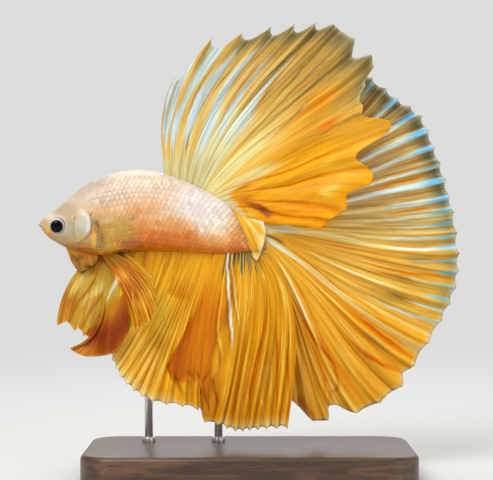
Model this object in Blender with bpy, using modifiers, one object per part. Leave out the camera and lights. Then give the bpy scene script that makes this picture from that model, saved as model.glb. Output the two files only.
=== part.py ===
"""Male betta fish (halfmoon form) at life size, as a still museum model on a two-rod display stand.

The fish faces -X and shows its left flank to -Y. +Z is up, and the origin is the middle of the stand's
underside. Sizes below are in millimetres, x counted back from the snout and z up from the body axis;
place() turns them into metres in the part's own frame. Fin rays are numbered from the front of each fin,
and a ray number may be a fraction.
"""

import math

import bmesh
import bpy
from mathutils import Matrix, Vector

MM = 0.001

# Where the fish stands in the frame
SNOUT_X = -40.0
AXIS_Z = 47.0
GAP = 0.3

# Body: (x, back, belly, half width), from the snout to the tail root
BODY_STATIONS = (
    (0.0, 0.15, -0.15, 0.15),
    (0.7, 1.05, -1.1, 0.75),
    (1.8, 2.0, -2.3, 1.35),
    (3.1, 2.8, -3.2, 1.9),
    (4.5, 4.0, -4.0, 2.35),
    (6.0, 5.3, -4.7, 2.8),
    (7.9, 6.9, -5.2, 3.2),
    (9.8, 8.1, -5.6, 3.55),
    (12.6, 9.3, -5.75, 3.85),
    (15.9, 10.2, -5.5, 4.05),
    (19.3, 10.5, -5.15, 4.1),
    (24.0, 9.7, -5.1, 3.95),
    (29.7, 7.6, -5.35, 3.45),
    (34.9, 4.75, -5.55, 2.6),
    (38.5, 2.2, -5.3, 1.85),
    (41.0, 0.95, -5.0, 1.3),
    (43.2, 0.55, -4.95, 0.8),
)
BODY_LENGTH = BODY_STATIONS[-1][0]
WIDEST_AT = 0.46  # share of the depth, from the belly up
SECTION_POWER = 2.2
HEAD_END = 10.9
STEM_START = 38.2
STEM_SLANT = math.radians(29)

# Head pieces
EYE_X, EYE_Z = 3.75, -0.2
EYE_RADII = (1.62, 0.95, 1.62)
EYE_OUT = 1.5
GILL_FRONT, GILL_REACH, GILL_Z, GILL_HALF = 7.0, 3.6, 0.1, 3.5
GILL_PROUD, GILL_THICK = 0.4, 0.55
BEARD_FRONT, BEARD_BACK, BEARD_DEPTH, BEARD_HALF = 5.3, 10.7, 3.3, 0.9

# Fins
FIN_THICK = 0.55
ROOT_GAP = GAP + 0.05  # from the back or belly to the middle of a fin's first row
ROWS = 6
CADENCE = (0.0, 0.08, 0.45)  # a ray's tip, the notch behind it and the far side of its narrow pleat
DORSAL_RAYS, DORSAL_ROOT = 16, (23.9, 39.2)
FOLD_RAYS, FOLD_ROOT = 4, (36.2, 39.2)
TAIL_RAYS, TAIL_ROOT_X, TAIL_ROOT_Z = 26, 43.2, (0.3, -4.8)
ANAL_RAYS, ANAL_ROOT = 20, (15.3, 42.2)
PELVIC_RAYS, PELVIC_ROOT_X, PELVIC_ROOT_Z = 7, (12.3, 13.6), -6.2
PECTORAL_RAYS, PECTORAL_ROOT_X, PECTORAL_ROOT_Z = 9, 11.5, (-1.7, -4.5)

# Each tip: (ray number, tip x, tip z, angle at the root, angle at the tip), the angles up from the tail's
# direction
DORSAL_TIPS = (
    (0, 25.8, 27.7, 97, 62),
    (1, 32.9, 35.2, 92, 54),
    (3, 44.1, 37.3, 80, 48),
    (5, 52.5, 38.0, 70, 47),
    (6, 55.7, 37.7, 64, 46),
    (7, 59.7, 35.0, 58, 45),
    (8, 62.9, 31.9, 52, 43),
    (9, 63.3, 29.6, 48, 41),
    (10, 61.8, 26.2, 43, 38),
    (11, 61.2, 22.4, 38, 24),
    (12, 66.5, 19.2, 31, 10),
    (14, 62.7, 7.6, 16, -14),
    (15, 57.9, 2.7, 2, -24),
    (16, 53.2, -1.0, -24, -22),
)
FOLD_TIPS = (
    (0, 40.9, -6.3, -48, -66),
    (1, 41.5, -6.6, -44, -74),
    (2, 42.4, -4.4, -40, -72),
    (3, 43.0, -1.6, -36, -60),
    (4, 42.6, 0.5, -32, -40),
)
TAIL_TIPS = (
    (0, 59.2, 30.4, 66, 60),
    (1, 63.5, 28.2, 60, 55),
    (3, 68.5, 24.3, 50, 42),
    (5, 73.0, 20.8, 43, 23),
    (8, 76.6, 11.9, 30, 15),
    (9, 77.6, 8.6, 25, 13),
    (11, 79.2, 2.4, 9, 10),
    (13, 80.2, -5.5, -10, 3),
    (14, 80.1, -8.8, -13, -7),
    (15, 79.6, -12.1, -19, -11),
    (17, 76.8, -18.4, -31, -17),
    (19, 71.6, -26.9, -38, -30),
    (20, 69.1, -31.0, -41, -38),
    (22, 60.6, -36.0, -50, -52),
    (23, 55.8, -34.5, -55, -62),
    (24, 55.0, -37.4, -57, -66),
    (25, 52.0, -37.4, -62, -76),
    (26, 48.0, -33.5, -80, -90),
)
ANAL_TIPS = (
    (0, 13.4, -24.2, -90, -102),
    (3, 15.4, -29.0, -102, -120),
    (7, 21.6, -33.6, -114, -104),
    (10, 30.2, -35.1, -114, -84),
    (11, 31.6, -37.4, -111, -80),
    (12, 34.0, -37.9, -107, -80),
    (14, 37.4, -39.0, -98, -84),
    (17, 41.6, -38.6, -84, -92),
    (20, 47.1, -38.3, -42, -98),
)
PELVIC_NEAR_TIPS = (
    (0, 18.3, -20.2, -58, -86),
    (2, 21.2, -18.7, -46, -76),
    (4, 22.7, -16.5, -36, -70),
    (5, 22.7, -13.9, -32, -62),
    (7, 21.8, -9.6, -14, -48),
)
PELVIC_FAR_TIPS = (
    (0, 3.6, -18.9, -150, -92),
    (1, 5.3, -19.1, -138, -104),
    (3, 8.6, -21.0, -112, -122),
    (4, 8.7, -22.4, -102, -150),
    (5, 6.2, -23.4, -94, -164),
    (6, 9.1, -24.8, -84, -118),
    (7, 14.9, -23.8, -76, -82),
)
PECTORAL_TIPS = (
    (0, 15.2, 2.9, 62, 46),
    (3, 19.4, 1.0, 32, 22),
    (6, 20.9, -2.0, 6, 0),
    (9, 18.6, -4.5, -12, -8),
)

# Depth of the teeth along a margin: (ray number, depth)
DORSAL_TEETH = ((0, 1.2), (1, 2.4), (2, 1.8), (3, 1.7), (4, 1.5), (5, 0.3), (7, 0.6), (16, 0.8))
TAIL_TEETH = ((0, 0.6), (22, 0.4), (26, 0.3))
ANAL_TEETH = ((0, 0.4), (20, 0.5))
FOLD_TEETH = ((0, 0.0), (4, 0.0))
PELVIC_TEETH = ((0, 0.6), (7, 0.6))
PECTORAL_TEETH = ((0, 0.2), (9, 0.2))

# Notches torn in a margin: (ray number, depth, half width in rays)
DORSAL_NOTCHES = ((7.5, 2.7, 0.55), (13.1, 5.6, 0.6), (14.5, 3.2, 0.5))
TAIL_NOTCHES = ((19.5, 0.8, 0.4),)
ANAL_NOTCHES = ((10.3, 0.6, 0.3),)
PELVIC_FAR_NOTCHES = ((3.7, 0.9, 0.4),)

# Stand
BASE_LENGTH, BASE_WIDTH, BASE_HEIGHT, BASE_CORNER = 62.0, 34.0, 5.0, 6.0
BASE_BEVEL = 0.8
ROD_RADIUS = 0.8
ROD_X = (20.5, 34.0)
ROD_FOOT_Y, ROD_HEAD_Y = 7.5, 1.9
ROD_FOOT_Z, ROD_HEAD_Z = 2.0, AXIS_Z - 2.6

COLOURS = {
    "skin": ((0.84, 0.66, 0.55), 0.4),
    "tail_skin": ((0.86, 0.68, 0.35), 0.42),
    "gill": ((0.72, 0.74, 0.68), 0.3),
    "membrane": ((0.56, 0.34, 0.1), 0.5),
    "eye": ((0.02, 0.018, 0.02), 0.08),
    "pale_fin": ((0.78, 0.66, 0.36), 0.4),
    "gold_fin": ((0.82, 0.45, 0.07), 0.42),
    "orange_fin": ((0.66, 0.28, 0.04), 0.45),
    "stand_wood": ((0.09, 0.045, 0.022), 0.38),
    "stand_steel": ((0.62, 0.62, 0.64), 0.25),
}


def place(x, y, z):
    """A point of the fish, in millimetres from the snout and the axis, as metres in the part's frame."""
    return Vector((x + SNOUT_X, y, z + AXIS_Z)) * MM


def along(table, t):
    """Values of a table's columns at t, on a smooth curve through its rows, whose first column is t."""
    last = len(table) - 1
    t = min(max(t, table[0][0]), table[last][0])
    k = next(n for n in range(last) if t <= table[n + 1][0])
    before, here, there, after = (table[min(max(n, 0), last)] for n in (k - 1, k, k + 1, k + 2))
    step = there[0] - here[0]
    s = (t - here[0]) / step
    values = []
    for a, b, c, d in zip(before[1:], here[1:], there[1:], after[1:]):
        start = (c - a) / (there[0] - before[0]) * step
        end = (d - b) / (after[0] - here[0]) * step
        hump = s * (1 - s)
        values.append(b + (c - b) * s * s * (3 - 2 * s) + hump * ((1 - s) * start - s * end))
    return values


def blend(low, high, share):
    return low + (high - low) * share


def rise(share):
    """Smooth step from 0 to 1."""
    share = min(max(share, 0.0), 1.0)
    return share * share * (3 - 2 * share)


def section(x):
    """(height of the widest point, rise to the back, drop to the belly, half width) of the body at x."""
    back, belly, half = along(BODY_STATIONS, x)
    middle = blend(belly, back, WIDEST_AT)
    return middle, back - middle, middle - belly, half


def flank(x, z):
    """Half width of the body at x and height z, 0 above the back or below the belly."""
    middle, up, down, half = section(x)
    share = abs(z - middle) / (up if z > middle else down)
    return half * max(0.0, 1 - share**SECTION_POWER) ** (1 / SECTION_POWER)


def collection(name):
    made = bpy.data.collections.new(name)
    bpy.context.scene.collection.children.link(made)
    return made


def finish(name):
    """The material of that name, made once."""
    if name in bpy.data.materials:
        return bpy.data.materials[name]
    colour, roughness = COLOURS[name]
    material = bpy.data.materials.new(name)
    material.use_nodes = True
    shader = material.node_tree.nodes["Principled BSDF"]
    shader.inputs["Base Color"].default_value = (*colour, 1)
    shader.inputs["Roughness"].default_value = roughness
    shader.inputs["Metallic"].default_value = 1.0 if name == "stand_steel" else 0.0
    return material


def node(name, bm, colour, smooth_under=40):
    """Makes a part of the fish or its stand from a bmesh."""
    mesh = bpy.data.meshes.new(name)
    bm.to_mesh(mesh)
    bm.free()
    mesh.materials.append(finish(colour))
    mesh.shade_smooth()
    mesh.set_sharp_from_angle(angle=math.radians(smooth_under))
    made = bpy.data.objects.new(name, mesh)
    PARTS.objects.link(made)
    return made


def cutter(name, bm):
    mesh = bpy.data.meshes.new(name)
    bm.to_mesh(mesh)
    bm.free()
    made = bpy.data.objects.new(name, mesh)
    made.hide_render = True
    made.display_type = "WIRE"
    CUTTERS.objects.link(made)
    return made


def cut(target, *tools):
    for tool in tools:
        modifier = target.modifiers.new("cut_" + tool.name, "BOOLEAN")
        modifier.operation = "DIFFERENCE"
        modifier.object = tool


def whole_body():
    """The body as one closed loft of rings."""
    rings, spokes = 34, 22
    bm = bmesh.new()
    loops = []
    for n in range(rings + 1):
        share = n / rings
        x = BODY_LENGTH * (1 - math.cos(share * math.pi)) / 2 if share < 0.5 else BODY_LENGTH * share
        middle, up, down, half = section(x)
        loop = []
        for k in range(spokes):
            turn = math.tau * k / spokes
            side, height = math.cos(turn), math.sin(turn)
            y = half * math.copysign(abs(side) ** (2 / SECTION_POWER), side)
            z = math.copysign(abs(height) ** (2 / SECTION_POWER), height) * (up if height > 0 else down)
            loop.append(bm.verts.new(place(x, y, middle + z)))
        loops.append(loop)
    for here, there in zip(loops, loops[1:]):
        for k in range(spokes):
            bm.faces.new((here[k], here[(k + 1) % spokes], there[(k + 1) % spokes], there[k]))
    bm.faces.new(loops[0])
    bm.faces.new(loops[-1])
    bmesh.ops.recalc_face_normals(bm, faces=bm.faces)
    return bm


def keep_side(bm, point, normal):
    """Cuts a closed body by a plane, keeps the side that the normal points away from and closes it."""
    everything = bm.verts[:] + bm.edges[:] + bm.faces[:]
    bmesh.ops.bisect_plane(bm, geom=everything, plane_co=point, plane_no=normal, clear_outer=True)
    rim = [edge for edge in bm.edges if edge.is_boundary]
    bmesh.ops.contextual_create(bm, geom=rim)
    bmesh.ops.recalc_face_normals(bm, faces=bm.faces)


def stem_plane(offset):
    """(point, normal) of the slanting cut where the trunk gives way to the tail stem."""
    normal = Vector((math.cos(STEM_SLANT), 0, math.sin(STEM_SLANT)))
    return place(STEM_START, 0, 0) + normal * offset * MM, normal


def ellipsoid(centre, radii, grow=0.0):
    bm = bmesh.new()
    bmesh.ops.create_uvsphere(bm, u_segments=16, v_segments=10, radius=1)
    size = [(radius + grow) * MM for radius in radii]
    bmesh.ops.scale(bm, vec=size, verts=bm.verts)
    bmesh.ops.rotate(bm, cent=(0, 0, 0), matrix=Matrix.Rotation(math.pi / 2, 3, "X"), verts=bm.verts)
    bmesh.ops.translate(bm, vec=centre, verts=bm.verts)
    return bm


def eye_centre(side):
    return place(EYE_X, side * EYE_OUT, EYE_Z)


def eye_shape(side, grow=0.0):
    """An eyeball: flat along Y, so the sphere's own pole axis, turned to Y, takes the small radius."""
    along_x, through, up = EYE_RADII
    return ellipsoid(eye_centre(side), (along_x, up, through), grow)


def gill_shape(side, proud, thick, grow=0.0):
    """A curved plate on the cheek, with a rounded rear edge, from an outer face offset from the flank."""
    rows, columns = 8, 4
    bm = bmesh.new()
    layers = []
    for depth in (proud, proud - thick):
        grid = []
        for r in range(rows + 1):
            up = 2 * r / rows - 1
            reach = (GILL_REACH + grow) * math.sqrt(max(0.0, 1 - 0.72 * up * up))
            line = []
            for c in range(columns + 1):
                x = GILL_FRONT - grow + 0.9 * up * up + (reach + grow) * c / columns
                z = GILL_Z + (GILL_HALF + grow) * up
                line.append(bm.verts.new(place(x, side * (flank(x, z) + depth), z)))
            grid.append(line)
        layers.append(grid)
    outer, inner = layers
    for grid in layers:
        for low, high in zip(grid, grid[1:]):
            for c in range(columns):
                bm.faces.new((low[c], low[c + 1], high[c + 1], high[c]))
    rim_outer, rim_inner = (
        grid[0] + [line[-1] for line in grid[1:]] + grid[-1][-2::-1] + [line[0] for line in grid[-2:0:-1]]
        for grid in (outer, inner)
    )
    for k in range(len(rim_outer)):
        after = (k + 1) % len(rim_outer)
        bm.faces.new((rim_outer[k], rim_outer[after], rim_inner[after], rim_inner[k]))
    bmesh.ops.recalc_face_normals(bm, faces=bm.faces)
    return bm


def make_head():
    bm = whole_body()
    keep_side(bm, place(HEAD_END - GAP / 2, 0, 0), (1, 0, 0))
    head = node("head", bm, "skin")
    for side, name in ((-1, "left"), (1, "right")):
        socket = cutter("eye_socket_" + name, eye_shape(side, GAP))
        recess = cutter("gill_recess_" + name, gill_shape(side, GILL_PROUD + 1, GILL_THICK + 1 + GAP, GAP))
        cut(head, socket, recess)
        node("eye_" + name, eye_shape(side), "eye")
        node("gill_cover_" + name, gill_shape(side, GILL_PROUD, GILL_THICK), "gill")


def make_gill_membrane():
    """The soft membrane that hangs under the gill covers of a displaying male."""
    steps, levels = 10, 4
    bm = bmesh.new()
    sides = {}
    for side in (-1, 1):
        sides[side] = []
        for n in range(steps + 1):
            share = n / steps
            x = blend(BEARD_FRONT, BEARD_BACK, share)
            top = along(BODY_STATIONS, x)[1] - GAP - 0.15
            drop = 0.25 + BEARD_DEPTH * math.sin(math.pi * share**0.85) ** 0.7
            column = []
            for level in range(levels + 1):
                down = level / levels
                bulge = BEARD_HALF * (1 - down**3) * (0.25 + 0.75 * math.sin(math.pi * share)) + 0.25
                column.append(bm.verts.new(place(x + 0.5 * down, side * bulge, top - drop * down)))
            sides[side].append(column)
    for side in sides.values():
        for here, there in zip(side, side[1:]):
            for k in range(levels):
                bm.faces.new((here[k], here[k + 1], there[k + 1], there[k]))
    left, right = sides[-1], sides[1]
    for k in range(levels):
        bm.faces.new((left[0][k], left[0][k + 1], right[0][k + 1], right[0][k]))
        bm.faces.new((left[-1][k], left[-1][k + 1], right[-1][k + 1], right[-1][k]))
    for n in range(steps):
        for k in (0, levels):
            bm.faces.new((left[n][k], left[n + 1][k], right[n + 1][k], right[n][k]))
    bmesh.ops.recalc_face_normals(bm, faces=bm.faces)
    node("gill_membrane", bm, "membrane")


def make_trunk():
    bm = whole_body()
    keep_side(bm, place(HEAD_END + GAP / 2, 0, 0), (-1, 0, 0))
    keep_side(bm, *stem_plane(-GAP / 2))
    return node("trunk", bm, "skin")


def make_tail_stem():
    bm = whole_body()
    point, normal = stem_plane(GAP / 2)
    keep_side(bm, point, -normal)
    node("tail_stem", bm, "tail_skin")


def margin_cut(ray, teeth, notches):
    """How far short of its smooth margin a fin ends at a ray number: teeth at the tips, and torn notches."""
    behind = ray - math.floor(ray)
    cut_back = along(teeth, ray - behind)[0] * (1 - behind**2) * rise(behind / CADENCE[1])
    for centre, depth, half in notches:
        cut_back += depth * rise(1 - abs(ray - centre) / half)
    return cut_back


def make_fin(name, rays, root, tips, lean, pleat, colour, teeth, notches=(), rows=ROWS):
    """A pleated fan. root(ray) gives a ray's first (x, z), lean(ray, v, at) its y at share v of its length."""
    bm = bmesh.new()
    columns = [n + part for n in range(rays) for part in CADENCE] + [rays]
    grid = []
    for ray in columns:
        start = Vector(root(ray))
        tip_x, tip_z, leave, arrive = along(tips, ray)
        tip = Vector((tip_x, tip_z))
        length = (tip - start).length
        short = 1 - margin_cut(ray, teeth, notches) / length
        pull = 0.36 * length
        leave, arrive = math.radians(leave), math.radians(arrive)
        first = start + pull * Vector((math.cos(leave), math.sin(leave)))
        second = tip - pull * Vector((math.cos(arrive), math.sin(arrive)))
        ridge = -1 if ray - math.floor(ray) < 0.2 else 1
        line = []
        for row in range(rows + 1):
            v = row / rows
            s = v * short
            left = 1 - s
            point = start * left**3 + first * 3 * s * left**2 + second * 3 * s * s * left + tip * s**3
            y = lean(ray, v, point) + ridge * pleat * rise(v * 1.1) * length / 30
            line.append(bm.verts.new(place(point.x, y, point.y)))
        grid.append(line)
    for here, there in zip(grid, grid[1:]):
        for k in range(rows):
            bm.faces.new((here[k], here[k + 1], there[k + 1], there[k]))
    fin = node(name, bm, colour, smooth_under=30)
    shell = fin.modifiers.new("thickness", "SOLIDIFY")
    shell.thickness = FIN_THICK * MM
    shell.offset = 0.0
    return fin


def make_dorsal():
    def root(ray):
        x = blend(*DORSAL_ROOT, ray / DORSAL_RAYS)
        return x, along(BODY_STATIONS, x)[0] + ROOT_GAP

    def lean(ray, v, at):
        return -blend(1.8, 4.4, rise(ray / DORSAL_RAYS * 1.3)) * rise(v * 1.15) * (0.35 + 0.65 * v)

    make_fin(
        "dorsal_fin",
        DORSAL_RAYS,
        root,
        DORSAL_TIPS,
        lean,
        0.55,
        "pale_fin",
        DORSAL_TEETH,
        DORSAL_NOTCHES,
    )


def make_dorsal_fold():
    """The last of the dorsal fin, which hangs over the left side of the tail stem."""

    def root(ray):
        x = blend(*FOLD_ROOT, ray / FOLD_RAYS)
        return x, along(BODY_STATIONS, x)[0] + ROOT_GAP

    def lean(ray, v, at):
        return -flank(at.x, at.y) - 0.65

    make_fin("dorsal_fold", FOLD_RAYS, root, FOLD_TIPS, lean, 0.3, "gold_fin", FOLD_TEETH)


def make_tail_fin():
    def root(ray):
        return TAIL_ROOT_X + GAP, blend(*TAIL_ROOT_Z, ray / TAIL_RAYS)

    def lean(ray, v, at):
        return 0.2 + 2.6 * v**0.8

    make_fin("tail_fin", TAIL_RAYS, root, TAIL_TIPS, lean, 0.6, "gold_fin", TAIL_TEETH, TAIL_NOTCHES)


def make_anal_fin():
    def root(ray):
        x = blend(*ANAL_ROOT, ray / ANAL_RAYS)
        return x, along(BODY_STATIONS, x)[1] - ROOT_GAP

    def lean(ray, v, at):
        return blend(1.4, -2.4, ray / ANAL_RAYS) * v**0.8

    make_fin("anal_fin", ANAL_RAYS, root, ANAL_TIPS, lean, 0.55, "orange_fin", ANAL_TEETH, ANAL_NOTCHES)


def make_pelvic_fins():
    def root(ray):
        return blend(*PELVIC_ROOT_X, ray / PELVIC_RAYS), PELVIC_ROOT_Z

    make_fin(
        "pelvic_fin_left",
        PELVIC_RAYS,
        root,
        PELVIC_NEAR_TIPS,
        lambda ray, v, at: -0.75 - 5.0 * rise(v) * (0.4 + 0.6 * v),
        0.5,
        "orange_fin",
        PELVIC_TEETH,
        rows=5,
    )
    make_fin(
        "pelvic_fin_right",
        PELVIC_RAYS,
        root,
        PELVIC_FAR_TIPS,
        lambda ray, v, at: 1.2 - 2.7 * rise(v) * v,
        0.5,
        "orange_fin",
        PELVIC_TEETH,
        PELVIC_FAR_NOTCHES,
        rows=5,
    )


def make_pectoral_fins():
    def root(ray):
        return PECTORAL_ROOT_X, blend(*PECTORAL_ROOT_Z, ray / PECTORAL_RAYS)

    for side, name in ((-1, "left"), (1, "right")):

        def lean(ray, v, at, side=side):
            return side * (flank(at.x, at.y) + 0.7 + 1.5 * v)

        make_fin(
            "pectoral_fin_" + name,
            PECTORAL_RAYS,
            root,
            PECTORAL_TIPS,
            lean,
            0.35,
            "gold_fin",
            PECTORAL_TEETH,
            rows=3,
        )


def rod_shape(x, radius):
    """A rod that leans in from the base to the belly, on the fish's far side."""
    foot = Vector((x + SNOUT_X, ROD_FOOT_Y, ROD_FOOT_Z)) * MM
    head = Vector((x + SNOUT_X, ROD_HEAD_Y, ROD_HEAD_Z)) * MM
    axis = head - foot
    bm = bmesh.new()
    bmesh.ops.create_cone(
        bm,
        cap_ends=True,
        segments=16,
        radius1=radius * MM,
        radius2=radius * MM,
        depth=axis.length + 2 * (radius - ROD_RADIUS) * MM,
    )
    turn = Vector((0, 0, 1)).rotation_difference(axis).to_matrix()
    bmesh.ops.rotate(bm, cent=(0, 0, 0), matrix=turn, verts=bm.verts)
    bmesh.ops.translate(bm, vec=(foot + head) / 2, verts=bm.verts)
    return bm


def base_shape():
    """A slab with rounded corners and a bevelled top edge."""
    bm = bmesh.new()
    bmesh.ops.create_cube(bm, size=1)
    bmesh.ops.scale(bm, vec=Vector((BASE_LENGTH, BASE_WIDTH, BASE_HEIGHT)) * MM, verts=bm.verts)
    bmesh.ops.translate(bm, vec=(0, 0, BASE_HEIGHT / 2 * MM), verts=bm.verts)
    upright = [e for e in bm.edges if abs((e.verts[0].co - e.verts[1].co).z) > 1e-6]
    bmesh.ops.bevel(bm, geom=upright, offset=BASE_CORNER * MM, segments=6, profile=0.5, affect="EDGES")
    top = [e for e in bm.edges if all(v.co.z > (BASE_HEIGHT - 0.01) * MM for v in e.verts)]
    bmesh.ops.bevel(bm, geom=top, offset=BASE_BEVEL * MM, segments=2, profile=0.5, affect="EDGES")
    return bm


def make_stand(trunk):
    base = node("stand_base", base_shape(), "stand_wood", smooth_under=25)
    for x, name in zip(ROD_X, ("front", "back")):
        node("stand_rod_" + name, rod_shape(x, ROD_RADIUS), "stand_steel")
        socket = cutter("rod_socket_" + name, rod_shape(x, ROD_RADIUS + GAP))
        cut(base, socket)
        cut(trunk, socket)


for old in list(bpy.data.objects):
    bpy.data.objects.remove(old)
PARTS = collection("betta_fish")
CUTTERS = collection("betta_fish_cutters")
make_head()
make_gill_membrane()
body = make_trunk()
make_tail_stem()
make_dorsal()
make_dorsal_fold()
make_tail_fin()
make_anal_fin()
make_pelvic_fins()
make_pectoral_fins()
make_stand(body)
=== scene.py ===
"""Male betta fish (halfmoon form): the looks of a life-size museum model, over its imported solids.

The fish faces -X and shows its left flank to -Y. Sizes in the tables are millimetres, x counted back from
the snout and z up from the body axis. Fin rays are numbered from the front of each fin, and a ray number may
be a fraction.
"""

import math

import bpy
import numpy as np
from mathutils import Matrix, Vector


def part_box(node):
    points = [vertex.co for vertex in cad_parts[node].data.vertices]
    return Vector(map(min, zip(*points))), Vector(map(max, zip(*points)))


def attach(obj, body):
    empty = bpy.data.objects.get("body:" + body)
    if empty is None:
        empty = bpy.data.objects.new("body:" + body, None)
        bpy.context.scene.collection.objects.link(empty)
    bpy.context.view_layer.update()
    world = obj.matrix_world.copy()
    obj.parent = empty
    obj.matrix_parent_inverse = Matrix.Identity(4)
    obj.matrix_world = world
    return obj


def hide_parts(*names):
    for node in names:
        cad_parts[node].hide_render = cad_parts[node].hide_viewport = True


bl_info = {
    "name": "Betta fish museum model",
    "version": (1, 0, 0),
    "blender": (4, 5, 0),
    "location": "View3D > Sidebar > Betta",
    "description": "Skin, scales, eyes, fins, stand and stage of a halfmoon betta fish",
    "category": "Object",
}

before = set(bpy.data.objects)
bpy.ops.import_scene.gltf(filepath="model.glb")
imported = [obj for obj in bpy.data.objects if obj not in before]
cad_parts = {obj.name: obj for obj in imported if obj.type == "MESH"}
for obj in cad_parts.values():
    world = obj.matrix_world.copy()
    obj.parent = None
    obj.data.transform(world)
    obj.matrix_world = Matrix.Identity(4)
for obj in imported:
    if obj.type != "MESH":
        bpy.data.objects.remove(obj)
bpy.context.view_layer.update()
MM = 0.001
SNOUT_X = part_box("head")[0].x / MM
AXIS_Z = 47.0

# ---------------------------------------------------------------- tables

# Body: (x, back, belly, half width), from the snout to the tail root
BODY = (
    (0.0, 0.15, -0.15, 0.15), (0.7, 1.05, -1.1, 0.75), (1.8, 2.0, -2.3, 1.35), (3.1, 2.8, -3.2, 1.9),
    (4.5, 4.0, -4.0, 2.35), (6.0, 5.3, -4.7, 2.8), (7.9, 6.9, -5.2, 3.2), (9.8, 8.1, -5.6, 3.55),
    (12.6, 9.3, -5.75, 3.85), (15.9, 10.2, -5.5, 4.05), (19.3, 10.5, -5.15, 4.1), (24.0, 9.7, -5.1, 3.95),
    (29.7, 7.6, -5.35, 3.45), (34.9, 4.75, -5.55, 2.6), (38.5, 2.2, -5.3, 1.85), (41.0, 0.95, -5.0, 1.3),
    (43.2, 0.55, -4.95, 0.8),
)
BODY_LENGTH = 43.2
WIDEST_AT = 0.46
SECTION_POWER = 2.2
EYE = (3.75, -0.2)
EYE_RADII = (1.62, 0.95, 1.62)
EYE_OUT = 1.5

# Rays of each fin: (ray, share along the root, tip x, tip z, angle at the root, angle at the tip)
DORSAL = (
    (0, 0.00, 25.8, 27.7, 97, 62), (1, 0.09, 32.9, 35.2, 95, 54), (2, 0.19, 38.6, 36.3, 92, 52),
    (3, 0.27, 44.1, 37.3, 86, 50), (5, 0.40, 52.5, 38.0, 74, 47), (6, 0.45, 55.7, 37.7, 67, 46),
    (7, 0.48, 59.7, 35.0, 60, 45), (8, 0.51, 62.9, 31.9, 53, 43), (9, 0.55, 63.3, 29.6, 47, 41),
    (10, 0.58, 61.8, 26.2, 41, 38), (11, 0.61, 61.2, 22.4, 34, 24), (12, 0.65, 66.5, 19.2, 26, 12),
    (13, 0.71, 65.2, 13.5, 19, 2), (14, 0.78, 62.7, 7.6, 12, -14), (15, 0.88, 57.9, 2.7, -4, -24),
    (16, 1.00, 53.2, -1.0, -26, -22),
)
FOLD = (
    (0, 0.0, 40.9, -6.3, -48, -66), (1, 0.25, 41.5, -6.6, -44, -74), (2, 0.5, 42.4, -4.4, -40, -72),
    (3, 0.75, 43.0, -1.6, -36, -60), (4, 1.0, 42.6, 0.5, -32, -40),
)
TAIL = (
    (0, 0.0, 59.2, 30.4, 66, 60), (1, 0.02, 63.5, 28.2, 60, 55), (3, 0.05, 68.5, 24.3, 50, 42),
    (5, 0.08, 73.0, 20.8, 43, 23), (8, 0.13, 76.6, 11.9, 30, 15), (9, 0.15, 77.6, 8.6, 25, 13),
    (11, 0.18, 79.2, 2.4, 12, 10), (13, 0.24, 80.2, -5.5, -7, 3), (14, 0.28, 80.1, -8.8, -12, -6),
    (15, 0.33, 79.6, -12.1, -18, -10), (17, 0.43, 76.8, -18.4, -30, -17), (19, 0.54, 71.6, -26.9, -38, -30),
    (20, 0.60, 69.1, -31.0, -41, -38), (22, 0.72, 60.6, -36.0, -50, -52), (23, 0.79, 55.8, -34.5, -55, -62),
    (24, 0.86, 55.0, -37.4, -57, -66), (25, 0.93, 52.0, -37.4, -62, -76), (26, 1.0, 48.0, -33.5, -80, -90),
)
ANAL = (
    (0, 0.0, 13.4, -24.2, -95, -112), (1, 0.24, 13.9, -25.9, -104, -122), (3, 0.47, 15.4, -29.0, -106, -126),
    (5, 0.53, 18.0, -31.5, -106, -116), (7, 0.585, 21.6, -33.6, -106, -104),
    (10, 0.70, 30.2, -35.1, -104, -86), (11, 0.76, 31.6, -37.4, -100, -88),
    (12, 0.855, 34.0, -37.9, -92, -106), (14, 0.915, 37.4, -39.0, -76, -93),
    (16, 0.945, 40.1, -38.8, -60, -98), (18, 0.972, 43.3, -38.5, -52, -92), (20, 1.0, 47.1, -38.3, -42, -98),
)
PELVIC_NEAR = (
    (0, 0.0, 18.3, -20.2, -58, -86), (2, 0.29, 21.2, -18.7, -42, -80), (4, 0.57, 22.7, -16.5, -30, -76),
    (5, 0.71, 22.7, -13.9, -24, -66), (7, 1.0, 21.8, -9.6, -10, -48),
)
PELVIC_FAR = (
    (0, 0.0, 3.6, -18.9, -150, -92), (1, 0.14, 5.3, -19.1, -138, -104), (3, 0.43, 8.6, -21.0, -112, -122),
    (4, 0.57, 8.7, -22.4, -102, -150), (5, 0.71, 6.2, -23.4, -94, -164), (6, 0.84, 9.6, -24.9, -84, -118),
    (6.7, 0.94, 14.7, -24.0, -76, -86), (7, 1.0, 16.9, -20.8, -66, -92),
)
PECTORAL = (
    (0, 0.0, 15.2, 2.9, 62, 46), (3, 0.33, 19.4, 1.0, 32, 22), (6, 0.67, 20.9, -2.0, 6, 0),
    (9, 1.0, 18.6, -4.5, -12, -8),
)

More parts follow.
